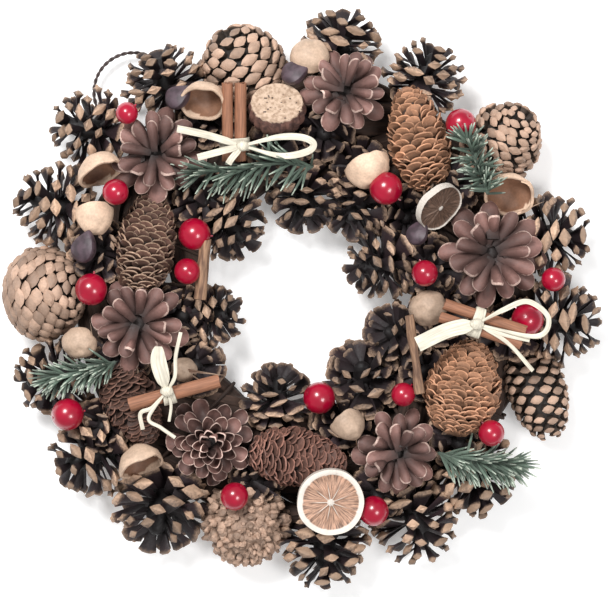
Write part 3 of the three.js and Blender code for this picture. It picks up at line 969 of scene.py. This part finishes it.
class WREATH_OT_closed_cones(bpy.types.Operator):
    """Adds the round cones whose plates have stayed shut, one of them rough and knobbly"""

    bl_idname = "wreath.closed_cones"
    bl_label = "Closed Cones"

    def execute(self, context):
        colours, _ = settings(context)
        rng = random.Random(31)
        shut_profile = [(0.4, 0.3), (0.5, 0.38), (0.58, 0.44), (0.72, 0.56), (0.6, 0.46)]
        knob_profile = [(0.5, 0.45), (0.6, 0.54), (0.62, 0.56), (0.66, 0.6), (0.5, 0.45)]
        shut = plate("shut_plate", shut_profile, 0.1, corner=0.88, tilt=0.08, pale=0.8)
        knob = plate("knob", knob_profile, 0.28, corner=0.9, pale=0.2)
        plates = colours.closed_plate
        # Painted shade: the plates' bodies, seen only in the gaps between rows, are near black (0.14 of the
        # plate colour), the knobs' bodies are darker than their ends, and the last value of each darkens the
        # roots further as painted root shade.
        pale = scale_material("pale_plates", dim(plates, 0.14), plates, 0.45, 0.35, 0.5, bump=0.5)
        rough = scale_material("rough_knobs", dim(plates, 0.4), dim(plates, 0.95), 0.6, 0.5, 0.6, bump=1.0)
        for i, (at, to, r, half, count, wide, thick, loose) in enumerate(CLOSED_CONES, 1):
            knobbly = i == KNOBBLY
            reach, tall = r * MM, half * MM
            bm = fresh()
            matrix = facing(at, to, rng.uniform(0, 6))
            pattern, long, waist = (knob, 0.3, 0.05) if knobbly else (shut, 0.4, 0.1)
            size = (wide * reach, long * reach, thick * reach)
            scales(bm, [pattern], matrix, reach, tall, count, size, None, rng, waist=waist, loose=loose)
            if knobbly:
                core(bm, matrix, 0.9 * reach, 0.9 * tall, shade=0.75, tip=0.55, rough=0.1)
            else:
                core(bm, matrix, 0.78 * reach, 0.78 * tall)
            stem(bm, matrix, 0.94 * tall, 1.8 * MM, 5 * MM)
            finish = rough if knobbly else pale
            piece(bm, f"closed_cone_{i}_plates", finish, f"closed_cone_{i}")
        bpy.data.meshes.remove(shut)
        bpy.data.meshes.remove(knob)
        return {"FINISHED"}


# ---------------------------------------------------------------- berries, cups and pods


class WREATH_OT_berries(bpy.types.Operator):
    """Adds the glossy red berries, each with a dark eye and a wire stalk"""

    bl_idname = "wreath.berries"
    bl_label = "Berries"

    def execute(self, context):
        colours, _ = settings(context)
        rng = random.Random(7)
        values = mottled(colours.berry, dim(colours.berry, 0.45), 90.0, 0.45)
        coat = {"Coat_Weight": 0.35, "Coat_Roughness": 0.06}
        finish = material("lacquered_skin", "mottle", values, 0.28, 0.05, 0.0002, **coat)
        for name, node, (at, r) in both_kinds("berry", "skin", BERRIES, "small_berry", SMALL_BERRIES):
            bm = fresh()
            reach = r * MM
            body = bmesh.ops.create_uvsphere(bm, u_segments=32, v_segments=20, radius=reach)["verts"]
            seed = somewhere(rng)
            for vert in body:
                unit = vert.co / reach
                dent = math.exp(-(((1 - unit.z) / 0.012) ** 2)) if unit.z > 0 else 0
                vert.co *= 1 - 0.09 * dent + 0.012 * noise.noise(unit * 1.3 + seed)
            note(bm, body, shade=rng.random(), tip=lambda co: 1.0 if co.z > 0.97 * reach else 0.0)
            crown = bmesh.ops.create_cone(
                bm, cap_ends=True, segments=6, radius1=0.1 * reach, radius2=0.05 * reach, depth=0.12 * reach
            )["verts"]
            bmesh.ops.translate(bm, verts=crown, vec=(0, 0, 0.93 * reach))
            route = [Vector((x * reach, 0, z * reach)) for x, z in ((0, -0.9), (0.03, -1.05), (0, -1.15))]
            note(bm, sweep(bm, route, lambda t: (0.5 * MM, 0.5 * MM), 6), shade=0.1)
            lean = (rng.uniform(-0.9, 0.9), rng.uniform(-0.9, 0.9), rng.uniform(0.1, 0.3))
            bmesh.ops.transform(bm, matrix=facing(at, lean), verts=bm.verts[:])
            piece(bm, name, finish, node)
        return {"FINISHED"}


def cut_above(bm, height):
    """Takes away what is above a level, and leaves the cut open."""
    everything = [*bm.verts, *bm.edges, *bm.faces]
    bmesh.ops.bisect_plane(bm, geom=everything, plane_co=(0, 0, height), plane_no=UP, clear_outer=True)


def cup_body(r, depth, wall, rng):
    """A half shell whose mouth faces +Z, with a thick uneven rim."""
    bm = fresh()
    bmesh.ops.create_uvsphere(bm, u_segments=36, v_segments=20, radius=1)
    cut_above(bm, 0.02)
    seed = Vector((rng.uniform(0, 9), rng.uniform(0, 9), rng.uniform(0, 9)))
    for vert in bm.verts:
        out = r * (1 + 0.09 * noise.noise(vert.co * 1.6 + seed))
        lip = 1.2 * MM * noise.noise(vert.co * 2.2 - seed)
        vert.co = Vector((vert.co.x * out, vert.co.y * out * 0.94, vert.co.z * depth + lip))
    bmesh.ops.recalc_face_normals(bm, faces=bm.faces[:])
    bmesh.ops.solidify(bm, geom=bm.faces[:], thickness=wall)
    rims = [e for e in bm.edges if e.calc_face_angle(0) > 0.9]
    bevel = {"offset_type": "OFFSET", "segments": 2, "profile": 0.5, "affect": "EDGES", "material": -1}
    bmesh.ops.bevel(bm, geom=rims, offset=wall * 0.35, **bevel)
    note(bm, bm.verts[:], own=lambda co: co.copy(), reach=1.0)
    bm.normal_update()
    tip = bm.verts.layers.float["tip"]
    for vert in bm.verts:
        vert[tip] = 1.0 if vert.normal.dot(vert.co) < 0 and vert.co.z < -0.12 * r else 0.0
    return bm


def shell_material(colours):
    """Smooth dried shell: pale outside, warmer and darker inside the cup."""
    values = {"Body": four(colours.shell), "Tip": four(colours.inside), "Edge": 0.5, "Softness": 0.3}
    return material("smooth_shell", "scale_finish", {**values, "Root_Shade": 1.0, "Grain": 0.4}, 0.62, 0.12, 0.0003)


class WREATH_OT_cups(bpy.types.Operator):
    """Adds the smooth pale cups and shells"""

    bl_idname = "wreath.cups"
    bl_label = "Cups and Shells"

    def execute(self, context):
        colours, sizes = settings(context)
        rng = random.Random(3)
        finish = shell_material(colours)
        for name, node, (at, to, r, depth, tone) in both_kinds("cup", "shell", CUPS, "shell", SHELLS):
            bm = cup_body(r * MM, depth * MM, sizes.shell, rng)
            note(bm, bm.verts[:], shade=tone)
            bmesh.ops.transform(bm, matrix=facing(at, to, rng.uniform(0, 6)), verts=bm.verts[:])
            piece(bm, name, finish, node)
        return {"FINISHED"}


class WREATH_OT_pods(bpy.types.Operator):
    """Adds the dark dried pods and the fruit that is cut across"""

    bl_idname = "wreath.pods"
    bl_label = "Pods"

    def execute(self, context):
        colours, _ = settings(context)
        rng = random.Random(17)
        values = mottled(colours.pod, dim(colours.pod, 0.4), 260.0, 0.8)
        skin = material("pod_skin", "mottle", values, 0.5, 0.4)
        for i, (at, to, length, r) in enumerate(PODS, 1):
            bm = fresh()
            body = bmesh.ops.create_uvsphere(bm, u_segments=28, v_segments=18, radius=1)["verts"]
            for vert in body:
                x, y, z = vert.co
                angle = math.atan2(y, x)
                ridge = 0.74 + 0.4 * (1 - abs(math.sin(1.5 * angle))) ** 1.5 * (1 - z * z)
                narrow = r * MM * ridge * (1 - 0.35 * z)
                vert.co = Vector((x * narrow + 1.2 * MM * z * z, y * narrow, z * length / 2 * MM))
            note(bm, body, shade=rng.random())
            bmesh.ops.transform(bm, matrix=facing(at, to), verts=body)
            piece(bm, f"dark_pod_{i}", skin)
        self.cut_fruit()
        return {"FINISHED"}

    def cut_fruit(self):
        """A round-bottomed fruit with a flat pitted face and a ridged side."""
        at, to, r, tall = CUT_POD
        reach, half = r * MM, tall / 2 * MM
        bm = fresh()
        bmesh.ops.create_uvsphere(bm, u_segments=72, v_segments=28, radius=1)
        cut_above(bm, 0.42)
        edge = [e for e in bm.edges if e.is_boundary]
        face = bmesh.ops.contextual_create(bm, geom=edge)["faces"]
        for width in (0.05, 0.07, 0.1, 0.12, 0.14, 0.16):
            bmesh.ops.inset_region(bm, faces=face, thickness=width, depth=0)
        tip = bm.verts.layers.float["tip"]
        for vert in bm.verts:
            x, y, z = vert.co
            out = math.hypot(x, y)
            angle = math.atan2(y, x)
            if z > 0.41:
                vert[tip] = 1.0
                rough = 0.05 * noise.noise(Vector((x * 4, y * 4, 1)))
                rough += 0.03 * noise.noise(Vector((x * 11, y * 11, 5)))
                lip = 0.05 if out > 0.8 else 0
                vert.co = Vector((x * reach * 1.08, y * reach * 1.08, half * (1 + rough + lip)))
            else:
                ridge = 1 + 0.045 * math.cos(18 * angle)
                deep = (z + 1) / 1.42
                vert.co = Vector((x * reach * 1.08 * ridge, y * reach * 1.08 * ridge, half * (2 * deep - 1)))
        note(bm, bm.verts[:], shade=0.5, reach=1.0)
        bmesh.ops.recalc_face_normals(bm, faces=bm.faces[:])
        bmesh.ops.transform(bm, matrix=facing(at, to), verts=bm.verts[:])
        piece(bm, "cut_pod_flesh", self.cut_finish(), "cut_pod")

    def cut_finish(self):
        """Pale flesh with dark pits on the cut face, and a dark skin round the side."""
        made, tree, shader = blank_material("cut_fruit")
        place = here_on_piece(tree)
        cells = add(tree, "ShaderNodeTexVoronoi", {"Vector": place, "Scale": 420.0, "Randomness": 1.0})
        pits = spread_range(tree, cells.outputs["Distance"], 0.12, 0.3, 1.0, 0.0, smooth=True)
        some = grain(tree, place, 230.0, 2.0)
        dotted = calc(tree, "MULTIPLY", pits, spread_range(tree, some, 0.5, 0.6, 0.0, 1.0))
        flesh = effect(tree, "mottle", mottled(hue("c6ad97"), hue("977c66"), 500.0, 0.8))
        side = effect(tree, "mottle", mottled(hue("6b4a40"), hue("3c2723"), 300.0, 0.9))
        face = blend_colours(tree, dotted, flesh["Color"], four(hue("2c1f1c")))
        where = spread_range(tree, attribute(tree, "tip"), 0.3, 0.7, 0.0, 1.0)
        whole = blend_colours(tree, where, side["Color"], face)
        height = calc(tree, "SUBTRACT", flesh["Height"], calc(tree, "MULTIPLY", dotted, 1.5))
        colour_and_bump(tree, shader, whole, height, 0.5, 0.0006, 0.75)
        return made


# ---------------------------------------------------------------- cinnamon, raffia and bark


def lengthwise(at, to):
    """The matrix that turns +Y, a strand's own length, to a direction."""
    return facing(at, to) @ Matrix.Rotation(math.radians(90), 4, "X") @ Matrix.Rotation(math.pi, 4, "Z")


def roll(r, length, wall, turns, rng, rough=0.05):
    """A rolled sheet of bark along +Y: an uneven scroll that is open from end to end."""
    bm = fresh()
    around, along = 34, 12
    verts = []
    for i in range(around + 1):
        t = i / around
        angle = t * turns * 2 * math.pi
        out = r * lerp(1.0, 0.42, ease(t)) - wall * 0.5
        verts.append(bm.verts.new((out * math.cos(angle), -length / 2, out * math.sin(angle))))
    edges = [bm.edges.new(pair) for pair in zip(verts, verts[1:])]
    for _ in range(along):
        grown = bmesh.ops.extrude_edge_only(bm, edges=edges)["geom"]
        moved = [g for g in grown if isinstance(g, bmesh.types.BMVert)]
        edges = [g for g in grown if isinstance(g, bmesh.types.BMEdge)]
        bmesh.ops.translate(bm, verts=moved, vec=(0, length / along, 0))
    seed = Vector((rng.uniform(0, 9), 0, rng.uniform(0, 9)))
    for vert in bm.verts:
        y = vert.co.y / length
        wobble = 1 + rough * noise.noise(Vector((vert.co.x / r, y * 3, vert.co.z / r)) + seed)
        vert.co.x *= wobble
        vert.co.z *= wobble
        if abs(y) > 0.49:
            torn = noise.noise(Vector((vert.co.x / r * 2, 3, vert.co.z / r * 2)) + seed)
            vert.co.y += math.copysign(0.5 * MM, y) * torn
    bmesh.ops.recalc_face_normals(bm, faces=bm.faces[:])
    bmesh.ops.solidify(bm, geom=bm.faces[:], thickness=wall)
    note(bm, bm.verts[:], own=lambda co: co.copy())
    return bm


class WREATH_OT_cinnamon(bpy.types.Operator):
    """Adds the cinnamon sticks, rolled from bark"""

    bl_idname = "wreath.cinnamon"
    bl_label = "Cinnamon Sticks"

    def execute(self, context):
        colours, sizes = settings(context)
        rng = random.Random(29)
        light, dark = dim(colours.cinnamon, 1.15), dim(colours.cinnamon, 0.74)
        finish = fibrous("cinnamon_bark", light, dark, 1400.0, 0.07, 0.7, 0.35, 0.0003)
        for i, (middles, to, r, length) in enumerate(CINNAMON, 1):
            bm = fresh()
            for at in middles:
                stick = roll(r * MM, length * MM, sizes.bark, 1.55, rng)
                spin = Matrix.Rotation(rng.uniform(2.2, 4.2), 4, "Y")
                bmesh.ops.transform(stick, matrix=lengthwise(at, to) @ spin, verts=stick.verts[:])
                note(stick, stick.verts[:], shade=rng.random())
                loose = stored(stick, "stick")
                bm.from_mesh(loose)
                bpy.data.meshes.remove(loose)
            piece(bm, f"cinnamon_bundle_{i}_quills", finish, f"cinnamon_bundle_{i}")
        return {"FINISHED"}


class WREATH_OT_raffia(bpy.types.Operator):
    """Adds the raffia bow on each bundle, with the turns round its sticks"""

    bl_idname = "wreath.raffia"
    bl_label = "Raffia Bows"

    def execute(self, context):
        colours, sizes = settings(context)
        rng = random.Random(41)
        dark = dim(colours.raffia, 0.68)
        finish = fibrous("raffia_fibre", colours.raffia, dark, 1700.0, 0.05, 0.55, 0.4, 0.0003)
        for i, ((knot, ribbons), (middles, to, r, _)) in enumerate(zip(BOWS, CINNAMON), 1):
            bm = fresh()
            for width, points in ribbons:
                path = through([here(p) for p in (knot, *points)], 9)
                path = [p + UP * 0.6 * MM * noise.noise(p * 90 + Vector((i, 0, 0))) for p in path]
                looped = points[-1] == knot

                def size(t, width=width, looped=looped):
                    pinch = lerp(0.4, 1.0, ease(min(t, 1 - t if looped else 1) * 4))
                    if width > LEAF:
                        pinch *= math.sqrt(max(1 - ((t - 0.55) / 0.5) ** 2, 0.1))
                    return (width / 2 * MM * pinch, sizes.raffia * 0.6)

                made = sweep(bm, path, size, 8, top=Vector((0.15, 0.1, 1)).normalized())
                note(bm, made, shade=rng.random())
            self.turns(bm, middles, to, r, Vector(knot), sizes, rng)
            piece(bm, f"raffia_bow_{i}_ribbons", finish, f"raffia_bow_{i}")
        return {"FINISHED"}

    def turns(self, bm, middles, to, r, knot, sizes, rng):
        """Ribbon turns round the sticks, and the knot on top of them."""
        centre = sum((Vector(m) for m in middles), Vector()) / len(middles)
        axis = Vector(to).normalized()
        side = axis.cross(UP).normalized()
        lift = side.cross(axis)
        wide = r + (len(middles) - 1) * 3.2
        where = centre + axis * (knot - centre).dot(axis)
        for k in (-1, 0, 1):
            shift = axis * (k * 1.6)
            path = []
            for j in range(28):
                angle = j / 28 * 2 * math.pi
                out = side * math.cos(angle) * (wide + 0.7) + lift * math.sin(angle) * (r + 0.8)
                path.append(here(where + shift + out + axis * 0.5 * math.sin(angle + k)))
            made = self.loop(bm, path, axis, 1.3 * MM, sizes.raffia * 0.55)
            note(bm, made, shade=rng.random())
        knob = bmesh.ops.create_icosphere(bm, subdivisions=3, radius=1)["verts"]
        for vert in knob:
            fold = MM * (1 + 0.16 * noise.noise(vert.co * 2.2 + knot * 0.1))
            vert.co = Vector((vert.co.x * 3.3, vert.co.y * 2.7, vert.co.z * 2.2)) * fold
        bmesh.ops.translate(bm, verts=knob, vec=here(knot + Vector((0, 0, 0.5))))
        note(bm, knob, shade=0.5, own=lambda co: co.copy())

    def loop(self, bm, path, axis, wide, thick):
        """A closed flat turn whose flat side faces out from an axis."""
        middle = sum(path, Vector()) / len(path)
        rings = []
        for i, at in enumerate(path):
            out = at - middle
            out = (out - axis * out.dot(axis)).normalized()
            ahead = axis.cross(out)
            matrix = from_axes(axis * wide, out * thick, ahead * wide, at)
            ring = ring_of(bm, 8, matrix)
            length = i * (path[1] - path[0]).length
            note(bm, ring, own=lambda co, at=at, s=length: Vector(((co - at).dot(axis), s, 0)))
            rings.append(ring)
        return stitch(bm, rings)


class WREATH_OT_bark(bpy.types.Operator):
    """Adds the curled strips of bark"""

    bl_idname = "wreath.bark"
    bl_label = "Bark Strips"

    def execute(self, context):
        rng = random.Random(43)
        finish = fibrous("strip_bark", hue("9c7a60"), hue("5c4335"), 700.0, 0.12, 0.8, 0.6, 0.0008)
        for i, (at, to, length, width) in enumerate(BARK, 1):
            bm = roll(width / 2 * MM, length * MM, 1.2 * MM, 0.55, rng, rough=0.5)
            note(bm, bm.verts[:], shade=rng.random())
            flip = Matrix.Rotation(math.radians(180), 4, "Y")
            bmesh.ops.transform(bm, matrix=lengthwise(at, to) @ flip, verts=bm.verts[:])
            piece(bm, f"bark_strip_{i}", finish)
        return {"FINISHED"}


# ---------------------------------------------------------------- citrus


class WREATH_OT_citrus(bpy.types.Operator):
    """Adds the dried citrus slices"""

    bl_idname = "wreath.citrus"
    bl_label = "Citrus Slices"

    def execute(self, context):
        colours, _ = settings(context)
        rng = random.Random(13)
        for i, (at, to, r, thick, inner, web, rind, flesh) in enumerate(CITRUS, 1):
            bm = self.slice(r * MM, thick * MM, inner, web, rng)
            shades = dim(colours.citrus_rind, rind), dim(colours.citrus_flesh, flesh)
            finish = self.finish(f"citrus_{i}", *shades)
            bmesh.ops.transform(bm, matrix=facing(at, to, rng.uniform(0, 6)), verts=bm.verts[:])
            piece(bm, f"citrus_slice_{i}_fruit", finish, f"citrus_slice_{i}", crease=60)
        return {"FINISHED"}

    def slice(self, r, thick, inner, web, rng):
        """A disc with a raised rind from inner outwards, thin walls as pale as web, and shrunken flesh."""
        bm = fresh()
        segments, walls = 108, 9
        bmesh.ops.create_cone(
            bm, cap_ends=True, cap_tris=False, segments=segments, radius1=r, radius2=r, depth=thick
        )
        caps = [f for f in bm.faces if len(f.verts) > 4]
        for cap in caps:
            for width in (0.05, 0.06, 0.1, 0.16, 0.16, 0.14, 0.12, 0.08, 0.06):
                bmesh.ops.inset_individual(bm, faces=[cap], thickness=width * r, depth=0)
        tip, reach = bm.verts.layers.float["tip"], bm.verts.layers.float["reach"]
        own = bm.verts.layers.float_vector["own"]
        seed = somewhere(rng)
        for vert in bm.verts:
            x, y, z = vert.co
            out = math.hypot(x, y) / r
            angle = math.atan2(y, x)
            sector = (angle / (2 * math.pi) * walls + 0.25 * noise.noise(seed * 3)) % 1
            wall = 1 - ease(min(sector, 1 - sector) * 2 * (out + 0.1) * 7)
            rim = ease((out - inner) / 0.08)
            hub = 1 - ease((out - 0.06) / 0.1)
            pale = max(rim, web * wall * (1.1 - 0.6 * out), hub)
            vert[tip] = pale
            vert[reach] = out
            vert[own] = Vector((angle, out, math.copysign(1, z)))
            sink = (1 - pale) * 0.28 * thick
            rough = 0.05 * thick * noise.noise(Vector((x, y, 0)) / r * 9 + seed)
            warp = 0.35 * thick * noise.noise(Vector((x, y, 0)) / r * 1.2 + seed)
            edge = 1 + 0.02 * noise.noise(Vector((math.cos(angle) * 2, math.sin(angle) * 2, 7)) + seed)
            vert.co = Vector((x * edge, y * edge, z - math.copysign(sink, z) + rough + warp))
        return bm

    def finish(self, name, rind, flesh):
        """Pale rind and walls, and flesh with fibres that run out from the middle."""
        made, tree, shader = blank_material(name)
        own = attribute(tree, "own", "Vector")
        parts = add(tree, "ShaderNodeSeparateXYZ", {0: own}).outputs
        round_way, out_way = (calc(tree, "MULTIPLY", parts[i], factor) for i, factor in ((0, 11.0), (1, 2.0)))
        round_and_out = add(tree, "ShaderNodeCombineXYZ", {0: round_way, 1: out_way, 2: 0.0}).outputs[0]
        strands = grain(tree, round_and_out, 1.6, 4.0)
        mask = spread_range(tree, strands, 0.35, 0.65, 0.0, 1.0)
        pulp = blend_colours(tree, mask, four(dim(flesh, 0.45)), four(dim(flesh, 1.7)))
        place = here_on_piece(tree)
        fine = grain(tree, place, 800.0, 3.0)
        skin = blend_colours(tree, fine, four(dim(rind, 0.82)), four(rind))
        where = spread_range(tree, attribute(tree, "tip"), 0.35, 0.75, 0.0, 1.0, smooth=True)
        colour, height = blend_colours(tree, where, pulp, skin), calc(tree, "ADD", strands, fine)
        colour_and_bump(tree, shader, colour, height, 0.5, 0.0005, 0.6)
        return made


# ---------------------------------------------------------------- sprigs, ring and loop


class WREATH_OT_sprigs(bpy.types.Operator):
    """Adds the sprigs of needles"""

    bl_idname = "wreath.sprigs"
    bl_label = "Needle Sprigs"

    def execute(self, context):
        colours, sizes = settings(context)
        rng = random.Random(19)
        # The last value is the painted root shade: the needles darken towards their roots at the stem.
        finish = scale_material("needles", colours.needle, colours.needle_tip, 0.8, 0.3, 0.7, bump=0.1)
        pattern = self.needle()
        for i, (points, pairs, share) in enumerate(SPRIGS, 1):
            bm = fresh()
            path = through([here(p) for p in points], 14)
            made = sweep(bm, path, lambda t: (lerp(1.0, 0.5, t) * MM,) * 2, 7)
            # The stem gets a low shade and reach 0.3, which darkens it as painted shade under the needles.
            note(bm, made, shade=0.2, reach=0.3)
            last = len(path) - 1
            for k in range(pairs * 2 + 12):
                t = min((k + 0.5) / (pairs * 2), 1.0)
                j = min(int(t * last), last - 1)
                ahead = (path[j + 1] - path[j]).normalized()
                side = ahead.cross(UP).normalized()
                turn = rng.uniform(-0.5, 3.64) if k < pairs * 2 else rng.uniform(0, 6.28)
                out = side * math.cos(turn) + side.cross(ahead) * math.sin(turn) * 0.75
                lean = rng.uniform(0.45, 1.3) if t < 0.95 else rng.uniform(1, 3)
                stray = Vector((rng.gauss(0, 0.3), rng.gauss(0, 0.3), rng.gauss(0, 0.15)))
                along = (out + ahead * lean + stray + NEEDLE_SAG).normalized()
                across = along.cross(UP).normalized()
                long = sizes.needle * share * rng.uniform(0.7, 1.05)
                wide = 1.3 * MM
                root = path[j].lerp(path[j + 1], t * last - j if t < 1 else 1)
                place = from_axes(across * wide, along * long, across.cross(along) * wide, root)
                stamp(bm, pattern, place, rng.random())
            piece(bm, f"sprig_{i}_needles", finish, f"sprig_{i}")
        bpy.data.meshes.remove(pattern)
        return {"FINISHED"}

    def needle(self):
        """One bent needle on +Y, one long and one wide."""
        bm = fresh()
        path = [Vector((0, y, 0.77 * y * y)) for y in (0, 0.3, 0.6, 0.85, 1)]
        widths = (0.42, 0.5, 0.5, 0.42, 0.16)
        sweep(bm, path, lambda t: (widths[round(t * 4)], widths[round(t * 4)] * 0.8), 5, top=UP)
        note(bm, bm.verts[:], tip=lambda co: ease((co.y - 0.55) / 0.45), own=lambda co: co.copy())
        return stored(bm, "needle")


class WREATH_OT_ring(bpy.types.Operator):
    """Adds the ring of bound vine that carries everything"""

    bl_idname = "wreath.ring"
    bl_label = "Vine Ring"

    def execute(self, context):
        colours, sizes = settings(context)
        rng = random.Random(2)
        # The vine colour is painted dark as shade; the darker streaks are the bark's fibres.
        light, dark = dim(colours.vine, 1.1), dim(colours.vine, 0.45)
        finish = fibrous("vine_bark", light, dark, 500.0, 0.1, 0.85, 0.7, 0.001)
        bm = fresh()
        steps, ties = 150, 14
        for k in range(sizes.vines):
            start = k / sizes.vines * 2 * math.pi
            girth = rng.uniform(4.2, 5.6)
            inner = 0.35 if k % 4 == 3 else 1.0
            wander = somewhere(rng)
            winds = rng.choice((2, 2, 3))
            path = []
            for j in range(steps):
                turn = j / steps * 2 * math.pi
                spin = start + winds * turn
                circle = Vector((math.cos(turn), math.sin(turn), 0))
                loose = noise.noise(circle * 2.5 + wander)
                out = RING["middle"] + (RING["wide"] - girth) * inner * math.cos(spin) + loose
                high = RING["high"] / 2 + (RING["high"] / 2 - girth) * inner * math.sin(spin)
                path.append(here((circle.x * out, circle.y * out, max(high + 0.5 * loose, girth + 0.1))))
            made = self.strand(bm, path, girth * MM)
            note(bm, made, shade=rng.random())
        for k in range(ties):
            turn = (k + rng.uniform(-0.2, 0.2)) / ties * 2 * math.pi
            self.tie(bm, turn, rng)
        piece(bm, "vine_strands", finish, "base_ring")
        return {"FINISHED"}

    def strand(self, bm, path, girth):
        """A closed round strand."""
        count, sides = len(path), 7
        rings = []
        for i, at in enumerate(path):
            ahead = (path[(i + 1) % count] - path[i - 1]).normalized()
            across = ahead.cross(UP).normalized()
            over = across.cross(ahead)
            matrix = from_axes(across * girth, over * girth, ahead * girth, at)
            ring = ring_of(bm, sides, matrix)

            def own(co, at=at, across=across, over=over, length=i * 3.6 * MM):
                return Vector(((co - at).dot(across), length, (co - at).dot(over)))

            note(bm, ring, own=own)
            rings.append(ring)
        return stitch(bm, rings)

    def tie(self, bm, turn, rng):
        """A thin tendril wound once round the ring."""
        circle = Vector((math.cos(turn), math.sin(turn), 0))
        side = UP.cross(circle)
        slant = rng.uniform(-7, 7)
        path = []
        for j in range(37):
            angle = j / 36 * 2 * math.pi
            out = circle * (RING["middle"] + (RING["wide"] + 0.6) * math.cos(angle))
            high = RING["high"] / 2 + (RING["high"] / 2 + 0.6) * math.sin(angle)
            at = out + side * slant * math.sin(angle / 2 + 0.4)
            path.append(here((at.x, at.y, max(high, 1.0))))
        made = sweep(bm, path, lambda t: (0.9 * MM, 0.9 * MM), 6)
        note(bm, made, shade=rng.random())


class WREATH_OT_hanger(bpy.types.Operator):
    """Adds the hanging loop of two twisted wires"""

    bl_idname = "wreath.hanger"
    bl_label = "Hanging Loop"

    def execute(self, context):
        colours, sizes = settings(context)
        values = mottled(colours.wire, dim(colours.wire, 0.4), 400.0, 0.7)
        finish = material("dull_wire", "mottle", values, 0.5, 0.3, 0.0002, Metallic=0.4)
        x, y, z = HANGER["at"]
        inward = math.atan2(-y, -x)
        open_half = math.radians(HANGER["spread"] / 2)
        points = []
        for i in range(13):
            angle = inward + open_half + i / 12 * (2 * math.pi - 2 * open_half)
            circle = Vector((math.cos(angle), math.sin(angle), 0))
            points.append(Vector((x, y, z)) + HANGER["radius"] * circle)
        ahead = Vector((math.cos(inward), math.sin(inward), 0)) * HANGER["tail"]
        points = [points[0] + ahead, *points, points[-1] + ahead]
        line = through([here(p) for p in points], 16)
        bm = fresh()
        for start in (0, math.pi):
            path = []
            for i, at in enumerate(line):
                run = (line[min(i + 1, len(line) - 1)] - line[max(i - 1, 0)]).normalized()
                side = run.cross(UP)
                turn = start + i * 0.55
                path.append(at + (side * math.cos(turn) + UP * math.sin(turn)) * sizes.wire * 0.42)
            made = sweep(bm, path, lambda t: (sizes.wire / 2, sizes.wire / 2), 6)
            note(bm, made, shade=0.5)
        piece(bm, "hanger_loop_wires", finish, "hanger_loop")
        return {"FINISHED"}


# ---------------------------------------------------------------- stage


class WREATH_OT_stage(bpy.types.Operator):
    """Adds the pale floor, the soft studio lights and the camera"""

    bl_idname = "wreath.stage"
    bl_label = "Stage"

    def execute(self, context):
        scene = context.scene
        bm = bmesh.new()
        bmesh.ops.create_grid(bm, x_segments=1, y_segments=1, size=4)
        mesh = bpy.data.meshes.new("floor")
        bm.to_mesh(mesh)
        bm.free()
        mesh.transform(Matrix.Translation((0, 0, -0.0005)))
        floor = bpy.data.objects.new("floor", mesh)
        scene.collection.objects.link(floor)
        pale, _, shader = blank_material("pale_floor")
        shader["Base Color"].default_value = (0.9, 0.9, 0.9, 1)
        shader["Roughness"].default_value = 0.9
        shader["Emission Color"].default_value = (1, 1, 1, 1)
        shader["Emission Strength"].default_value = 0.22
        mesh.materials.append(pale)
        world = bpy.data.worlds.new("studio")
        world.use_nodes = True
        background = world.node_tree.nodes["Background"]
        background.inputs["Color"].default_value = (1, 1, 1, 1)
        background.inputs["Strength"].default_value = 0.44
        scene.world = world
        for name, at, power in LIGHTS:
            self.light(scene, name, at, power)
        scene.view_settings.view_transform = "Standard"
        lens = bpy.data.cameras.new("camera")
        lens.lens = 200
        lens.sensor_width = 36
        lens.clip_end = 20
        camera = bpy.data.objects.new("camera", lens)
        camera.location = (0, 0, VIEW_WIDTH * lens.lens / lens.sensor_width + VIEW_HEIGHT)
        scene.collection.objects.link(camera)
        scene.camera = camera
        return {"FINISHED"}

    def light(self, scene, name, at, power):
        """A round lamp that faces the wreath."""
        data = bpy.data.lights.new(name, "AREA")
        data.shape = "DISK"
        data.size = LAMP_SIZE
        data.energy = power
        lamp = bpy.data.objects.new(name, data)
        lamp.location = at
        lamp.rotation_euler = Vector(at).to_track_quat("Z", "Y").to_euler()
        scene.collection.objects.link(lamp)


class WREATH_PT_panel(bpy.types.Panel):
    bl_idname = "WREATH_PT_panel"
    bl_label = "Dried Wreath"
    bl_space_type = "VIEW_3D"
    bl_region_type = "UI"
    bl_category = "Wreath"

    def draw(self, context):
        for values in settings(context):
            box = self.layout.box()
            for name in values.__annotations__:
                box.prop(values, name)
        for operator in OPERATORS:
            self.layout.operator(operator.bl_idname)


OPERATORS = [
    WREATH_OT_ring,
    WREATH_OT_hanger,
    WREATH_OT_open_cones,
    WREATH_OT_flower_cones,
    WREATH_OT_long_cones,
    WREATH_OT_closed_cones,
    WREATH_OT_cups,
    WREATH_OT_berries,
    WREATH_OT_pods,
    WREATH_OT_cinnamon,
    WREATH_OT_raffia,
    WREATH_OT_bark,
    WREATH_OT_citrus,
    WREATH_OT_sprigs,
    WREATH_OT_stage,
]
CLASSES = [WreathColours, WreathSizes, *OPERATORS, WREATH_PT_panel]


def register():
    for cls in CLASSES:
        bpy.utils.register_class(cls)
    bpy.types.Scene.wreath_colours = PointerProperty(type=WreathColours)
    bpy.types.Scene.wreath_sizes = PointerProperty(type=WreathSizes)


def unregister():
    del bpy.types.Scene.wreath_sizes
    del bpy.types.Scene.wreath_colours
    for cls in reversed(CLASSES):
        bpy.utils.unregister_class(cls)


def main():
    register()
    for operator in OPERATORS:
        category, name = operator.bl_idname.split(".")
        getattr(getattr(bpy.ops, category), name)()


if __name__ == "__main__":
    main()
